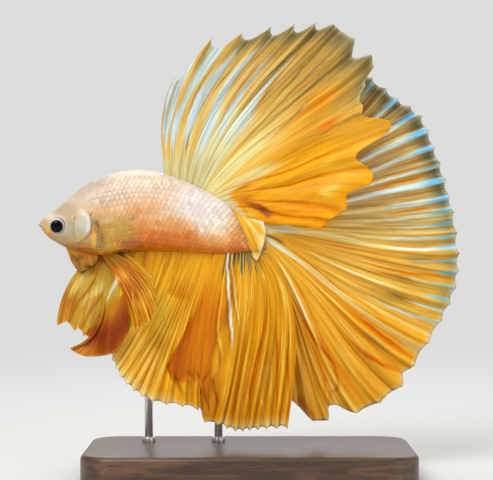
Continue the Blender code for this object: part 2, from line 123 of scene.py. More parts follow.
# Depth of the teeth along a margin: (ray, depth). Notches torn in one: (ray, depth, half width in rays)
DORSAL_TEETH = (
    (0, 3.6), (1, 3.2), (2, 2.2), (3, 2.2), (4, 2.0), (5, 1.7), (6, 0.3), (8, 0.4), (9, 0.9), (10, 0.4),
    (16, 0.5)
)
TAIL_TEETH = ((0, 0.6), (22, 0.4), (26, 0.3))
ANAL_TEETH = ((0, 0.4), (20, 0.5))
PLAIN_TEETH = ((0, 0.0), (20, 0.0))
PELVIC_TEETH = ((0, 0.6), (7, 0.6))
PELVIC_FAR_TEETH = ((0, 0.0), (1, 0.0), (2, 0.7), (3, 0.5), (4, 0.1), (7, 0.1))
PECTORAL_TEETH = ((0, 0.2), (9, 0.2))
DORSAL_NOTCHES = ((7.5, 2.5, 0.55), (11.5, 1.8, 0.5), (13.0, 5.0, 0.8), (14.45, 1.8, 0.5))
TAIL_NOTCHES = ((19.5, 0.8, 0.4),)
ANAL_NOTCHES = ((10.3, 0.6, 0.3),)
PELVIC_FAR_NOTCHES = ((1.0, 0.8, 0.95), (3.6, 0.45, 0.4))

# Body markings and two painted shadows: (x, z, reach in x, reach in z, strength, colour), laid over each
# other in this order
BLOTCHES = (
    ("rear lower flank", 33.0, -3.8, 9.0, 2.2, 0.9, (0.87, 0.51, 0.19)),
    ("rear flank glow", 34.0, -2.3, 4.4, 1.7, 0.8, (0.95, 0.72, 0.46)),
    ("belly", 22.0, -5.4, 9.5, 1.4, 0.85, (0.82, 0.46, 0.03)),
    ("rear pearl", 30.6, 4.0, 7.8, 4.6, 0.95, (0.92, 0.87, 0.84)),
    ("rear pearl low", 32.6, 0.2, 4.0, 2.2, 0.95, (0.93, 0.88, 0.84)),
    ("rear pearl foot", 32.4, -1.2, 3.4, 1.2, 0.8, (0.95, 0.82, 0.70)),
    ("rear pearl end", 35.0, -0.6, 1.7, 2.0, 0.75, (0.94, 0.86, 0.76)),
    ("tail root warm", 37.2, 0.9, 1.2, 1.5, 0.9, (0.93, 0.74, 0.50)),
    ("tail root warm low", 38.0, -0.8, 1.3, 1.5, 0.9, (0.86, 0.59, 0.29)),
    ("tail stem warm", 40.6, -3.2, 2.6, 2.0, 0.8, (0.90, 0.64, 0.38)),
    ("mid flank rose", 22.5, 0.4, 5.0, 1.8, 0.7, (0.90, 0.64, 0.42)),
    ("lower flank rose", 27.0, -0.5, 3.6, 1.2, 0.5, (0.92, 0.68, 0.42)),
    ("lateral pearl", 24.0, 1.9, 7.5, 0.7, 0.6, (0.92, 0.83, 0.74)),
    ("under the pectoral", 17.6, -3.9, 2.6, 1.6, 0.9, (0.66, 0.34, 0.0)),
    ("shoulder", 14.8, -1.2, 4.4, 2.6, 0.95, (0.76, 0.59, 0.21)),
    ("shoulder upper", 13.4, 1.3, 3.0, 1.6, 0.8, (0.79, 0.68, 0.46)),
    ("shoulder rear", 17.2, 1.0, 1.9, 1.2, 0.6, (0.81, 0.68, 0.43)),
    ("shoulder crest", 15.4, 2.9, 2.2, 1.0, 0.5, (0.88, 0.77, 0.63)),
    ("breast", 12.8, -4.1, 3.2, 1.6, 0.95, (0.83, 0.64, 0.17)),
    ("vent shadow", 15.6, -5.5, 1.6, 0.7, 0.9, (0.34, 0.18, 0.02)),
    ("nape", 11.0, 6.2, 8.0, 3.4, 0.85, (0.76, 0.67, 0.58)),
    ("crown", 5.2, 2.9, 3.4, 1.9, 0.9, (0.72, 0.64, 0.51)),
    ("face", 6.4, -2.2, 5.2, 2.7, 0.95, (0.71, 0.62, 0.46)),
    ("snout", 0.9, -0.1, 1.5, 1.7, 0.9, (0.71, 0.64, 0.50)),
    ("lore", 1.75, -0.8, 0.6, 1.0, 0.85, (0.87, 0.68, 0.28)),
    ("jaw", 4.2, -2.9, 3.0, 1.2, 0.95, (0.69, 0.56, 0.39)),
    ("cheek", 5.9, -0.3, 1.8, 2.1, 0.95, (0.68, 0.655, 0.545)),
    ("gill plate", 8.8, 0.3, 2.2, 2.9, 0.95, (0.79, 0.77, 0.68)),
    ("gill plate tint", 8.2, -1.1, 1.2, 0.9, 0.7, (0.66, 0.69, 0.60)),
    ("gill plate foot", 8.4, -2.7, 2.2, 1.0, 0.85, (0.75, 0.64, 0.43)),
    ("jaw foot", 7.2, -4.0, 3.4, 0.9, 0.9, (0.68, 0.49, 0.22)),
    ("throat", 8.4, -5.0, 3.4, 0.8, 0.95, (0.65, 0.42, 0.05)),
    ("gill hinge", 8.9, -4.1, 0.9, 0.5, 0.7, (0.82, 0.44, 0.03)),
    ("pectoral base", 10.9, -3.0, 0.9, 1.8, 0.9, (0.90, 0.70, 0.32)),
    # painted shade that the gill cover casts just behind its edge
    ("behind the gill", 11.3, 0.3, 1.0, 1.6, 0.75, (0.62, 0.50, 0.29)),
)
FLANK_RAMP = (  # share of the body's depth, then colour
    (0.0, 0.80, 0.40, 0.04), (0.2, 0.84, 0.45, 0.10), (0.38, 0.88, 0.55, 0.26), (0.55, 0.90, 0.68, 0.47),
    (0.72, 0.89, 0.77, 0.64), (0.88, 0.89, 0.82, 0.73), (1.0, 0.88, 0.83, 0.75),
)

# ---------------------------------------------------------------- shape functions


def along(table, t):
    """Columns of a table at t, on a smooth curve through its rows, whose first column is t."""
    rows = np.array(table, float)
    t = np.clip(np.asarray(t, float), rows[0, 0], rows[-1, 0])
    k = np.clip(np.searchsorted(rows[:, 0], t, side="left") - 1, 0, len(rows) - 2)
    before, here, there, after = (rows[np.clip(k + n, 0, len(rows) - 1)] for n in (-1, 0, 1, 2))
    step = there[..., :1] - here[..., :1]
    s = (t[..., None] - here[..., :1]) / step
    start = (there - before)[..., 1:] / (there - before)[..., :1] * step
    end = (after - here)[..., 1:] / (after - here)[..., :1] * step
    values = here[..., 1:] + (there - here)[..., 1:] * s * s * (3 - 2 * s)
    values = values + s * (1 - s) * ((1 - s) * start - s * end)
    return np.moveaxis(values, -1, 0)


def blend(low, high, share):
    return low + (high - low) * share


def rise(share):
    """Smooth step from 0 to 1."""
    share = np.clip(share, 0.0, 1.0)
    return share * share * (3 - 2 * share)


def bump(distance, width):
    """A soft hump of height 1 around distance 0."""
    return np.exp(-((distance / width) ** 2))


def lay(colour, paint, mask):
    """Lays a paint over colours by a mask, 0 to 1."""
    return blend(colour, np.array(paint), np.clip(mask, 0, 1)[..., None])


def ripple(*terms):
    """Sum of sines: each term is (phase array, size)."""
    return sum(size * np.sin(phase) for phase, size in terms)


def section(x):
    back, belly, half = along(BODY, x)
    middle = blend(belly, back, WIDEST_AT)
    return middle, back - middle, middle - belly, half


def flank(x, z):
    """Half width of the body at x and height z."""
    middle, up, down, half = section(x)
    share = np.abs(z - middle) / np.where(z > middle, up, down)
    return half * np.maximum(0.0, 1 - share**SECTION_POWER) ** (1 / SECTION_POWER)


def body_point(x, turn, side):
    """A point of the body's smooth form. turn runs from -pi/2 at the belly to pi/2 at the back."""
    middle, up, down, half = section(x)
    c, s = np.cos(turn), np.sin(turn)
    power = 2 / SECTION_POWER
    y = side * half * np.abs(c) ** power
    z = middle + np.sign(s) * np.abs(s) ** power * np.where(s > 0, up, down)
    return np.stack([x, y, z], -1)


def unit(v):
    return v / np.maximum(np.linalg.norm(v, axis=-1, keepdims=True), 1e-12)


def body_normal(x, turn, side):
    e = 0.02
    turn = np.clip(turn, -math.pi / 2 + 2 * e, math.pi / 2 - 2 * e)
    rear, front = np.minimum(x + e, BODY_LENGTH), np.maximum(x - e, 0)
    lengthwise = body_point(rear, turn, side) - body_point(front, turn, side)
    upward = body_point(x, turn + e, side) - body_point(x, turn - e, side)
    return unit(np.cross(lengthwise, upward)) * -np.sign(side)[..., None]


def near_line(x, z, points):
    """Distance from each point to a chain of straight lines."""
    best = np.full(np.shape(x), 1e9)
    for (ax, az), (bx, bz) in zip(points, points[1:]):
        dx, dz = bx - ax, bz - az
        t = np.clip(((x - ax) * dx + (z - az) * dz) / (dx * dx + dz * dz), 0, 1)
        best = np.minimum(best, np.hypot(x - ax - t * dx, z - az - t * dz))
    return best


MOUTH = ((-0.1, 0.05), (0.3, -0.08), (0.85, -0.42), (1.35, -0.95), (1.55, -1.35))
PREOPERCLE = ((7.35, 1.9), (7.05, 0.9), (6.9, -0.4), (6.95, -1.9), (7.25, -2.9), (8.0, -3.6))
GILL_EDGE = (
    (7.0, 3.35), (8.2, 3.05), (9.2, 2.55), (9.9, 1.9), (10.2, 1.1), (10.28, 0.2), (10.22, -0.8), (9.95, -1.6),
    (9.35, -2.35), (8.5, -2.95), (7.6, -3.35),
)
GILL_LIMITS = tuple((z, x) for x, z in reversed(GILL_EDGE))
JAW_LINE = ((2.4, -2.45), (3.8, -3.25), (5.4, -3.95), (7.2, -4.35), (9.2, -4.6), (10.6, -4.7))
CHEEK_LINE = ((2.5, 1.35), (3.7, 2.2), (5.2, 2.0), (6.3, 1.2))
NOSTRILS = ((1.42, 1.12), (1.92, 1.42))
PUPIL_AT = (3.64, -0.28)


def gill_plate(x, z):
    """Distance inside the gill cover's rear edge, less than 0 behind it, and how much of the edge shows."""
    behind = x > along(GILL_LIMITS, z)[0]
    distance = near_line(x, z, GILL_EDGE) * np.where(behind, -1.0, 1.0)
    return distance, rise((2.9 - z) / 1.3) * rise((x - 7.2) / 1.6)


def head_relief(x, z):
    """Height of the head's modelling above the smooth body, outwards."""
    r = np.hypot(x - EYE[0], z - EYE[1])
    depth = -0.95 * (1 - rise((r - 1.42) / 0.22))
    depth += 0.035 * bump(r - 1.8, 0.2) - 0.02 * bump(r - 2.3, 0.3)
    lip = near_line(x, z, MOUTH)
    fade = rise((1.9 - x) / 0.5)
    depth += fade * (-0.13 * bump(lip, 0.07) + 0.1 * bump(lip - 0.25, 0.16) * rise(x / 0.2))
    depth += 0.12 * bump(np.hypot(x - 0.55, (z - 0.62) * 0.8), 0.3)
    for nx, nz in NOSTRILS:
        hole = np.hypot(x - nx, z - nz)
        depth += -0.1 * bump(hole, 0.08) + 0.035 * bump(hole - 0.17, 0.07)
    depth += -0.07 * bump(near_line(x, z, PREOPERCLE), 0.12) * rise((1.9 - z) / 0.8) * rise((z + 3.7) / 0.8)
    depth += -0.06 * bump(near_line(x, z, JAW_LINE), 0.14)
    depth += -0.03 * bump(near_line(x, z, CHEEK_LINE), 0.2)
    depth += 0.05 * bump(np.hypot((x - 5.4) / 1.0, (z + 1.0) / 1.6), 1.0)
    inside, edge = gill_plate(x, z)
    plate = rise((x - 6.95) / 1.6) * rise(inside / 0.2 + 0.5) * rise((3.2 - z) / 1.6)
    gap = 0.12 * bump(inside + 0.15, 0.14) * edge * rise((z + 2.4) / 1.2)
    depth += 0.3 * plate + 0.035 * bump(inside - 0.3, 0.2) * edge - gap
    for k in range(8):
        depth += -0.008 * bump(near_line(x, z, ((7.4, 0.8), (10.2, 2.6 - 0.75 * k))), 0.08) * plate
    base = np.hypot((x - 10.9) / 0.9, (z + 3.15) / 1.75)
    depth += 0.26 * (1 - rise((base - 0.3) / 0.8))
    return depth * (1 - rise((x - 12.4) / 0.8))


def body_colour(x, z):
    """The body's markings, with some painted shade among them, shared by the skin and the scales."""
    back, belly, _ = along(BODY, x)
    share = np.clip((z - belly) / (back - belly), 0, 1)
    colour = np.moveaxis(along(FLANK_RAMP, share), 0, -1)
    for _, cx, cz, rx, rz, strength, paint in BLOTCHES:
        away = np.hypot((x - cx) / rx, (z - cz) / rz)
        mask = strength * (1 - rise((away - 0.35) / 0.85))
        colour = blend(colour, np.array(paint), mask[..., None])
    return colour


# ---------------------------------------------------------------- mesh helpers


def start_fresh():
    if bpy.context.mode != "OBJECT":
        bpy.ops.object.mode_set(mode="OBJECT")
    bpy.ops.object.select_all(action="DESELECT")


def in_frame(points):
    """Fish millimetres to the frame's metres."""
    return (points + np.array([SNOUT_X, 0.0, AXIS_Z])) * MM


def set_places(obj, points):
    obj.data.vertices.foreach_set("co", np.ascontiguousarray(points, np.float32).ravel())
    obj.data.update()


def linear(colour):
    """A colour as the eye names it, 0 to 1, to the amounts of light that shaders work in."""
    colour = np.clip(np.asarray(colour, float), 0, 1)
    return np.where(colour < 0.04045, colour / 12.92, ((colour + 0.055) / 1.055) ** 2.4)


def tone(*colour):
    return (*(float(c) for c in linear(colour)), 1.0)


def paint_attribute(obj, name, values):
    """Stores a number or a colour at each vertex, for the materials to read."""
    if values.ndim == 1:
        layer = obj.data.attributes.new(name, "FLOAT", "POINT")
        layer.data.foreach_set("value", np.asarray(values, np.float32))
    else:
        layer = obj.data.color_attributes.new(name, "FLOAT_COLOR", "POINT")
        rgba = np.concatenate([linear(values), np.ones((len(values), 1))], 1).astype(np.float32)
        layer.data.foreach_set("color", rgba.ravel())


def add_grid(name, columns, rows):
    """A flat grid by the usual operator. Returns it with each vertex's share along and across."""
    start_fresh()
    bpy.ops.mesh.primitive_grid_add(x_subdivisions=columns, y_subdivisions=rows, size=1)
    obj = bpy.context.object
    obj.name = obj.data.name = name
    obj.data.uv_layers[0].name = "OFBake"
    co = np.empty(len(obj.data.vertices) * 3, np.float32)
    obj.data.vertices.foreach_get("co", co)
    co = co.reshape(-1, 3).astype(float)
    return obj, np.clip(co[:, 0] + 0.5, 0, 1), np.clip(co[:, 1] + 0.5, 0, 1)


def weld(obj, distance=1e-6):
    start_fresh()
    bpy.context.view_layer.objects.active = obj
    obj.select_set(True)
    bpy.ops.object.mode_set(mode="EDIT")
    bpy.ops.mesh.select_all(action="SELECT")
    bpy.ops.mesh.remove_doubles(threshold=distance)
    bpy.ops.mesh.normals_make_consistent(inside=False)
    bpy.ops.object.mode_set(mode="OBJECT")


def apply_modifier(obj, kind, **settings):
    start_fresh()
    bpy.context.view_layer.objects.active = obj
    obj.select_set(True)
    modifier = obj.modifiers.new(kind.lower(), kind)
    for key, value in settings.items():
        setattr(modifier, key, value)
    bpy.ops.object.modifier_apply(modifier=modifier.name)


def smooth(obj, angle=None):
    start_fresh()
    bpy.context.view_layer.objects.active = obj
    obj.select_set(True)
    if angle is None:
        bpy.ops.object.shade_smooth()
    else:
        bpy.ops.object.shade_smooth_by_angle(angle=math.radians(angle))


def place_applied(obj):
    start_fresh()
    bpy.context.view_layer.objects.active = obj
    obj.select_set(True)
    bpy.ops.object.transform_apply(location=True, rotation=True, scale=True)


def settle(obj, material, replaces=()):
    """Gives a finished piece its material, its body and the solids that it stands for."""
    obj.data.materials.clear()
    obj.data.materials.append(material)
    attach(obj, "root")
    if replaces:
        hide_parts(*replaces)


# ---------------------------------------------------------------- materials


def new_group(name, inputs, outputs):
    """A shader node group with the given sockets: (name, kind, default)."""
    if name in bpy.data.node_groups:
        return bpy.data.node_groups[name], None, None
    tree = bpy.data.node_groups.new(name, "ShaderNodeTree")
    for socket, kind, default in inputs:
        made = tree.interface.new_socket(name=socket, in_out="INPUT", socket_type=kind)
        if default is not None:
            made.default_value = default
    for socket, kind, _ in outputs:
        tree.interface.new_socket(name=socket, in_out="OUTPUT", socket_type=kind)
    return tree, tree.nodes.new("NodeGroupInput"), tree.nodes.new("NodeGroupOutput")


class Nodes:
    """Short ways to add and join shader nodes in one tree."""

    def __init__(self, tree):
        self.tree = tree

    def add(self, kind, links=(), **settings):
        node = self.tree.nodes.new("ShaderNode" + kind)
        for key, value in settings.items():
            setattr(node, key, value)
        for socket, value in links:
            self.feed(node, socket, value)
        return node

    def feed(self, node, socket, value):
        target = node.inputs[socket]
        if isinstance(value, bpy.types.NodeSocket):
            self.tree.links.new(value, target)
        else:
            target.default_value = value

    def maths(self, operation, a, b=0.0, c=0.0, clamp=False):
        node = self.add("Math", ((0, a), (1, b), (2, c)), operation=operation, use_clamp=clamp)
        return node.outputs[0]

    def mix(self, factor, a, b, kind="MIX"):
        node = self.add("Mix", data_type="RGBA", blend_type=kind)
        self.feed(node, 0, factor)
        self.feed(node, 6, a)
        self.feed(node, 7, b)
        return node.outputs[2]

    def ramp(self, value, low, high):
        node = self.add("MapRange", ((0, value), (1, low), (2, high), (3, 0.0), (4, 1.0)))
        node.interpolation_type = "SMOOTHSTEP"
        return node.outputs[0]

    def attribute(self, name, output="Color"):
        return self.add("Attribute", attribute_name=name).outputs[output]


def new_material(name, **constants):
    """A material with the constants set on the shader's own sockets."""
    material = bpy.data.materials.new(name)
    material.use_nodes = True
    nodes = Nodes(material.node_tree)
    shader = material.node_tree.nodes["Principled BSDF"]
    for key, value in constants.items():
        shader.inputs[key.replace("_", " ")].default_value = value
    return material, nodes, shader


def use_group(nodes, tree, **values):
    node = nodes.tree.nodes.new("ShaderNodeGroup")
    node.node_tree = tree
    for key, value in values.items():
        nodes.feed(node, key.replace("_", " "), value)
    return node.outputs


def mottle_group():
    """Fine pigment grain: spots a little lighter and darker than the colour under them."""
    tree, given, out = new_group(
        "pigment_grain",
        (
            ("Colour", "NodeSocketColor", None),
            ("Size", "NodeSocketFloat", 900.0), ("Strength", "NodeSocketFloat", 0.2),
        ),
        (("Colour", "NodeSocketColor", None), ("Height", "NodeSocketFloat", None)),
    )
    if given is None:
        return tree
    n = Nodes(tree)
    place = n.add("TexCoord").outputs["Object"]
    grain = n.add(
        "TexNoise", (("Vector", place), ("Scale", given.outputs["Size"]), ("Detail", 3.0))
    ).outputs["Fac"]
    speck_size = n.maths("MULTIPLY", given.outputs["Size"], 2.6)
    speck = n.add("TexVoronoi", (("Vector", place), ("Scale", speck_size))).outputs["Distance"]
    shade = n.maths("MULTIPLY_ADD", n.maths("SUBTRACT", grain, 0.5), given.outputs["Strength"], 1.0)
    dots = n.maths(
        "MULTIPLY", n.ramp(speck, 0.28, 0.08), n.maths("MULTIPLY", given.outputs["Strength"], 0.35)
    )
    shade = n.maths("SUBTRACT", shade, dots)
    grey = n.add("CombineXYZ", ((0, shade), (1, shade), (2, shade))).outputs[0]
    toned = n.mix(1.0, given.outputs["Colour"], grey, "MULTIPLY")
    tree.links.new(toned, out.inputs["Colour"])
    tree.links.new(grain, out.inputs["Height"])
    return tree


def streak_group():
    """Fine lines that run with a fin's rays, in colour and in height. The colour is lighter on the raised
    lines and deeper on the low ones: painted highlight and painted shade on the fine wrinkles.
    """
    tree, given, out = new_group(
        "ray_streaks",
        (
            ("Colour", "NodeSocketColor", None),
            ("Ray", "NodeSocketFloat", 0.0), ("Along", "NodeSocketFloat", 0.0),
            ("Lines", "NodeSocketFloat", 4.0), ("Strength", "NodeSocketFloat", 0.3),
        ),
        (("Colour", "NodeSocketColor", None), ("Height", "NodeSocketFloat", None)),
    )
    if given is None:
        return tree
    n = Nodes(tree)
    ray, v, lines = given.outputs["Ray"], given.outputs["Along"], given.outputs["Lines"]

    def streak(count, stretch, shift):
        across = n.maths("MULTIPLY_ADD", n.maths("MULTIPLY", ray, lines), count, shift)
        vector = n.add(
            "CombineXYZ", ((0, across), (1, n.maths("MULTIPLY", v, stretch)), (2, shift))
        ).outputs[0]
        return n.add(
            "TexNoise", (("Vector", vector), ("Scale", 1.0), ("Detail", 2.0), ("Roughness", 0.6))
        ).outputs["Fac"]

    broad, fine = streak(0.9, 2.2, 3.1), streak(3.1, 5.0, 17.7)
    both = n.maths("ADD", n.maths("MULTIPLY", broad, 0.6), n.maths("MULTIPLY", fine, 0.4))
    sharp = n.maths("SUBTRACT", n.ramp(both, 0.36, 0.64), 0.5)
    shades = [
        n.maths("MULTIPLY_ADD", sharp, n.maths("MULTIPLY", given.outputs["Strength"], share), 1.0)
        for share in (0.6, 1.0, 1.7)
    ]
    toned = n.mix(
        1.0, given.outputs["Colour"], n.add("CombineXYZ", tuple(enumerate(shades))).outputs[0], "MULTIPLY"
    )
    tree.links.new(toned, out.inputs["Colour"])
    tree.links.new(both, out.inputs["Height"])
    return tree


def skin_material():
    material, n, shader = new_material(
        "betta_skin", Roughness=0.42, Specular_IOR_Level=0.3, Coat_Weight=0.2, Coat_Roughness=0.2
    )
    grain = use_group(n, mottle_group(), Colour=n.attribute("paint"), Size=1600.0, Strength=0.16)
    n.feed(shader, "Base Color", grain["Colour"])
    relief = n.add("Bump", (("Strength", 0.25), ("Distance", 0.00004), ("Height", grain["Height"])))
    n.feed(shader, "Normal", relief.outputs[0])
    return material


def scale_material():
    material, n, shader = new_material(
        "betta_scales", Roughness=0.36, Specular_IOR_Level=0.3, Coat_Weight=0.35, Coat_Roughness=0.16
    )
    grain = use_group(n, mottle_group(), Colour=n.attribute("paint"), Size=2200.0, Strength=0.12)
    n.feed(shader, "Base Color", grain["Colour"])
    rough = n.maths("MULTIPLY_ADD", grain["Height"], 0.3, 0.18)
    n.feed(shader, "Roughness", rough)
    return material


def fin_material(name, lines, strength, roughness=0.42, alpha=None):
    if name in bpy.data.materials:
        return bpy.data.materials[name]
    material, n, shader = new_material(name, Specular_IOR_Level=0.1, Coat_Weight=0.03, Coat_Roughness=0.3)
    streaks = use_group(
        n,
        streak_group(),
        Colour=n.attribute("paint"),
        Ray=n.attribute("ray", "Fac"),
        Along=n.attribute("along", "Fac"),
        Lines=lines,
        Strength=strength,
    )
    n.feed(shader, "Base Color", streaks["Colour"])
    n.feed(shader, "Roughness", n.maths("MULTIPLY_ADD", streaks["Height"], 0.2, roughness - 0.1))
    relief = n.add("Bump", (("Strength", 0.5), ("Distance", 0.00012), ("Height", streaks["Height"])))
    n.feed(shader, "Normal", relief.outputs[0])
    if alpha:
        n.feed(shader, "Alpha", n.attribute(alpha, "Fac"))
    return material


def eye_material(settings):
    """Black pupil, a thin dark line and a pearly ring, by distance from the eye's axis, in a clear coat."""
    material, n, shader = new_material(
        "betta_eye", Coat_Weight=0.3, Coat_Roughness=0.03, Coat_IOR=1.38, Specular_IOR_Level=0.04
    )
    place = n.add("TexCoord").outputs["Object"]
    centre = n.add("Mapping", (("Vector", place),))
    centre.inputs["Location"].default_value = (-(PUPIL_AT[0] + SNOUT_X) * MM, 0, -(PUPIL_AT[1] + AXIS_Z) * MM)
    xyz = n.add("SeparateXYZ", ((0, centre.outputs[0]),)).outputs
    flat = n.add("CombineXYZ", ((0, xyz[0]), (1, 0.0), (2, xyz[2]))).outputs[0]
    r = n.maths("MULTIPLY", n.add("VectorMath", ((0, flat),), operation="LENGTH").outputs["Value"], 1000.0)
    flecks = n.add("TexNoise", (("Vector", place), ("Scale", 2400.0), ("Detail", 3.0))).outputs["Fac"]
    upper = n.maths(
        "MULTIPLY_ADD", n.maths("ADD", xyz[0], n.maths("MULTIPLY", xyz[2], 1.4)), 260.0, 0.5, clamp=True
    )
    black = settings.pupil / MM
    pale = n.mix(upper, tone(0.72, 0.66, 0.58), tone(0.84, 0.82, 0.85))
    pale = n.mix(n.maths("MULTIPLY", n.ramp(flecks, 0.45, 0.7), 0.35), pale, tone(0.76, 0.70, 0.60))
    pale = n.mix(n.ramp(r, black + 0.25, black + 0.5), pale, tone(0.70, 0.65, 0.58))
    inner = n.mix(n.ramp(r, black + 0.02, black + 0.14), tone(0.50, 0.45, 0.40), pale)
    colour = n.mix(n.ramp(r, black - 0.03, black + 0.04), tone(0.02, 0.02, 0.03), inner)
    n.feed(shader, "Base Color", colour)
    n.feed(shader, "Roughness", n.maths("MULTIPLY_ADD", n.ramp(r, black - 0.05, black + 0.1), 0.22, 0.06))
    return material


def wood_material(settings):
    material, n, shader = new_material("stand_walnut", Coat_Weight=0.25, Coat_Roughness=0.25)
    place = n.add("TexCoord").outputs["Object"]
    stretched = n.add("Mapping", (("Vector", place), ("Scale", (1.0, 9.0, 9.0))))
    wave = n.add(
        "TexNoise", (("Vector", stretched.outputs[0]), ("Scale", 55.0), ("Detail", 5.0), ("Distortion", 1.2))
    )
    pores = n.add("TexNoise", (("Vector", stretched.outputs[0]), ("Scale", 420.0), ("Detail", 2.0)))
    dark, light = (*settings.wood, 1), (*(c * 2.6 for c in settings.wood), 1)
    colour = n.mix(n.ramp(wave.outputs["Fac"], 0.35, 0.68), dark, light)
    open_pores = n.maths("MULTIPLY", n.ramp(pores.outputs["Fac"], 0.52, 0.7), 0.6)
    colour = n.mix(open_pores, colour, (*(c * 0.4 for c in settings.wood), 1))
    n.feed(shader, "Base Color", colour)
    n.feed(shader, "Roughness", n.maths("MULTIPLY_ADD", wave.outputs["Fac"], 0.25, 0.28))
    relief = n.add("Bump", (("Strength", 0.3), ("Distance", 0.00005), ("Height", pores.outputs["Fac"])))
    n.feed(shader, "Normal", relief.outputs[0])
    return material


def steel_material(settings):
    material, n, shader = new_material("stand_brushed_steel", Metallic=1.0)
    place = n.add("TexCoord").outputs["Object"]
    stretched = n.add("Mapping", (("Vector", place), ("Scale", (14.0, 14.0, 0.6))))
    brushed = n.add(
        "TexNoise", (("Vector", stretched.outputs[0]), ("Scale", 260.0), ("Detail", 4.0))
    ).outputs["Fac"]
    light, dark = (*settings.steel, 1), (*(c * 0.8 for c in settings.steel), 1)
    n.feed(shader, "Base Color", n.mix(brushed, light, dark))
    n.feed(shader, "Roughness", n.maths("MULTIPLY_ADD", brushed, 0.2, 0.18))
    relief = n.add("Bump", (("Strength", 0.15), ("Distance", 0.00002), ("Height", brushed)))
    n.feed(shader, "Normal", relief.outputs[0])
    return material


# ---------------------------------------------------------------- body


def scales_start(z):
    """How far back the scales begin at a height: behind the gill cover, and further forward on the nape."""
    return blend(10.6, 9.4, rise((z - 2.2) / 3.0))


def make_skin(settings):
    """One closed skin over head, trunk and tail stem, with the head's modelling in its shape."""
    rings, spokes = 330, 260
    obj, share, round_ = add_grid("skin", rings, spokes)
    x = np.interp(share, (0, 0.012, 0.5, 0.97, 1), (0, 0.04, 12.2, 42.9, BODY_LENGTH))
    turn = np.where(round_ < 0.5, -math.pi / 2 + math.tau * round_, math.pi * 1.5 - math.tau * round_)
    side = np.where(round_ < 0.5, -1.0, 1.0)
    points = body_point(x, turn, side)
    normals = body_normal(np.clip(x, 0.05, BODY_LENGTH), turn, side)
    relief = head_relief(x, points[:, 2]) * rise(np.abs(np.cos(turn)) / 0.35)
    coat = blend(0.02, settings.coat_depth / MM, rise((x - scales_start(points[:, 2]) + 0.3) / 1.2))
    points += normals * (relief - coat)[:, None] * rise(x / 0.4)[:, None]
    for end, at in ((0.0, (0.0, 0.0, 0.0)), (1.0, (BODY_LENGTH, 0.0, -2.2))):
        points[np.abs(share - end) < 1e-6] = at
    set_places(obj, in_frame(points))
    paint_attribute(obj, "paint", skin_paint(points))
    weld(obj, 2e-6)
    smooth(obj)
    covered = ("head", "trunk", "tail_stem", "gill_cover_left", "gill_cover_right")
    settle(obj, skin_material(), covered)


SPECKS = (  # x, z, size, stretch along z
    (11.25, 0.38, 0.16, 1.2), (11.5, 0.0, 0.13, 1.6), (11.72, -0.35, 0.09, 2.0), (11.15, 2.15, 0.05, 3.0),
    (10.35, 2.2, 0.07, 3.0), (10.2, 1.85, 0.05, 2.0), (18.1, 1.25, 0.07, 3.0), (18.25, 0.8, 0.08, 2.6),
    (7.05, 1.3, 0.07, 2.4), (6.85, 0.25, 0.06, 1.4), (6.65, -1.55, 0.06, 0.6), (26.4, -4.95, 0.1, 0.7),
    (11.6, -0.95, 0.06, 2.0), (8.6, 3.1, 0.05, 1.0), (5.9, 1.75, 0.04, 1.0), (5.1, -4.0, 0.12, 0.5),
    (19.0, -5.1, 0.3, 0.6), (17.3, -4.85, 0.26, 0.5), (12.4, 3.3, 0.05, 1.0), (14.6, 6.2, 0.05, 1.0),
)
SPECK_BLACK = (0.06, 0.05, 0.04)


def specks(x, z):
    """Small black marks, with ragged edges."""
    mask = np.zeros(np.shape(x))
    for sx, sz, size, stretch in SPECKS:
        dx, dz = (x - sx) / size, (z - sz) / (size * stretch)
        around = np.arctan2(dz, dx)
        ragged = 1 + 0.25 * np.sin(3 * around + sx * 9) + 0.15 * np.sin(7 * around + sz * 5)
        mask = np.maximum(mask, bump(np.hypot(dx, dz) * ragged, 1.0))
    return mask


def skin_paint(points):
    """Markings of the skin with the head's fine lines: lips, nostrils, gill slit, specks. The dark in the
    mouth cleft, the nostrils and the gill slit is painted shade.
    """
    x, z = points[:, 0], points[:, 2]
    colour = body_colour(x, z)
    # painted shade along the mouth cleft; beside it a paler line on the lip
    colour = lay(
        colour, (0.45, 0.34, 0.20), 0.45 * bump(near_line(x, z, MOUTH), 0.07) * rise((1.8 - x) / 0.5)
    )
    colour = lay(
        colour, (0.90, 0.84, 0.72), 0.4 * bump(near_line(x, z, MOUTH) - 0.25, 0.14) * rise((1.2 - x) / 0.5)
    )
    # painted shade in the nostril pits
    for nx, nz in NOSTRILS:
        colour = lay(colour, (0.36, 0.28, 0.19), 0.6 * bump(np.hypot(x - nx, z - nz), 0.09))
    inside, edge = gill_plate(x, z)
    colour = lay(colour, (0.60, 0.50, 0.33), 0.5 * bump(near_line(x, z, PREOPERCLE[:5]), 0.1))
    colour = lay(colour, (0.91, 0.91, 0.88), 0.7 * bump(inside - 0.44, 0.34) * edge * rise((z + 1.7) / 0.8))
    # painted shade in the gap behind the gill cover's rear edge
    colour = lay(colour, (0.50, 0.42, 0.26), 0.5 * bump(inside + 0.16, 0.14) * edge * rise((z + 2.0) / 1.5))
    colour = lay(
        colour, (0.52, 0.28, 0.05), 0.6 * bump(near_line(x, z, JAW_LINE[1:]), 0.12) * rise((x - 4) / 1.5)
    )
    r = np.hypot(x - EYE[0], z - EYE[1])
    upper = rise(0.5 + 0.35 * (x - EYE[0]) + 0.35 * (z - EYE[1]))
    colour = lay(colour, (0.86, 0.82, 0.78), 0.7 * bump(r - 1.68, 0.2) * (0.4 + 0.6 * upper))
    colour = lay(colour, (0.60, 0.50, 0.40), 0.5 * bump(r - 1.5, 0.12) * (1 - upper))
    return lay(colour, SPECK_BLACK, 0.92 * specks(x, z))


PATCH_SIZE = 0.003  # of one scale on the unwrap


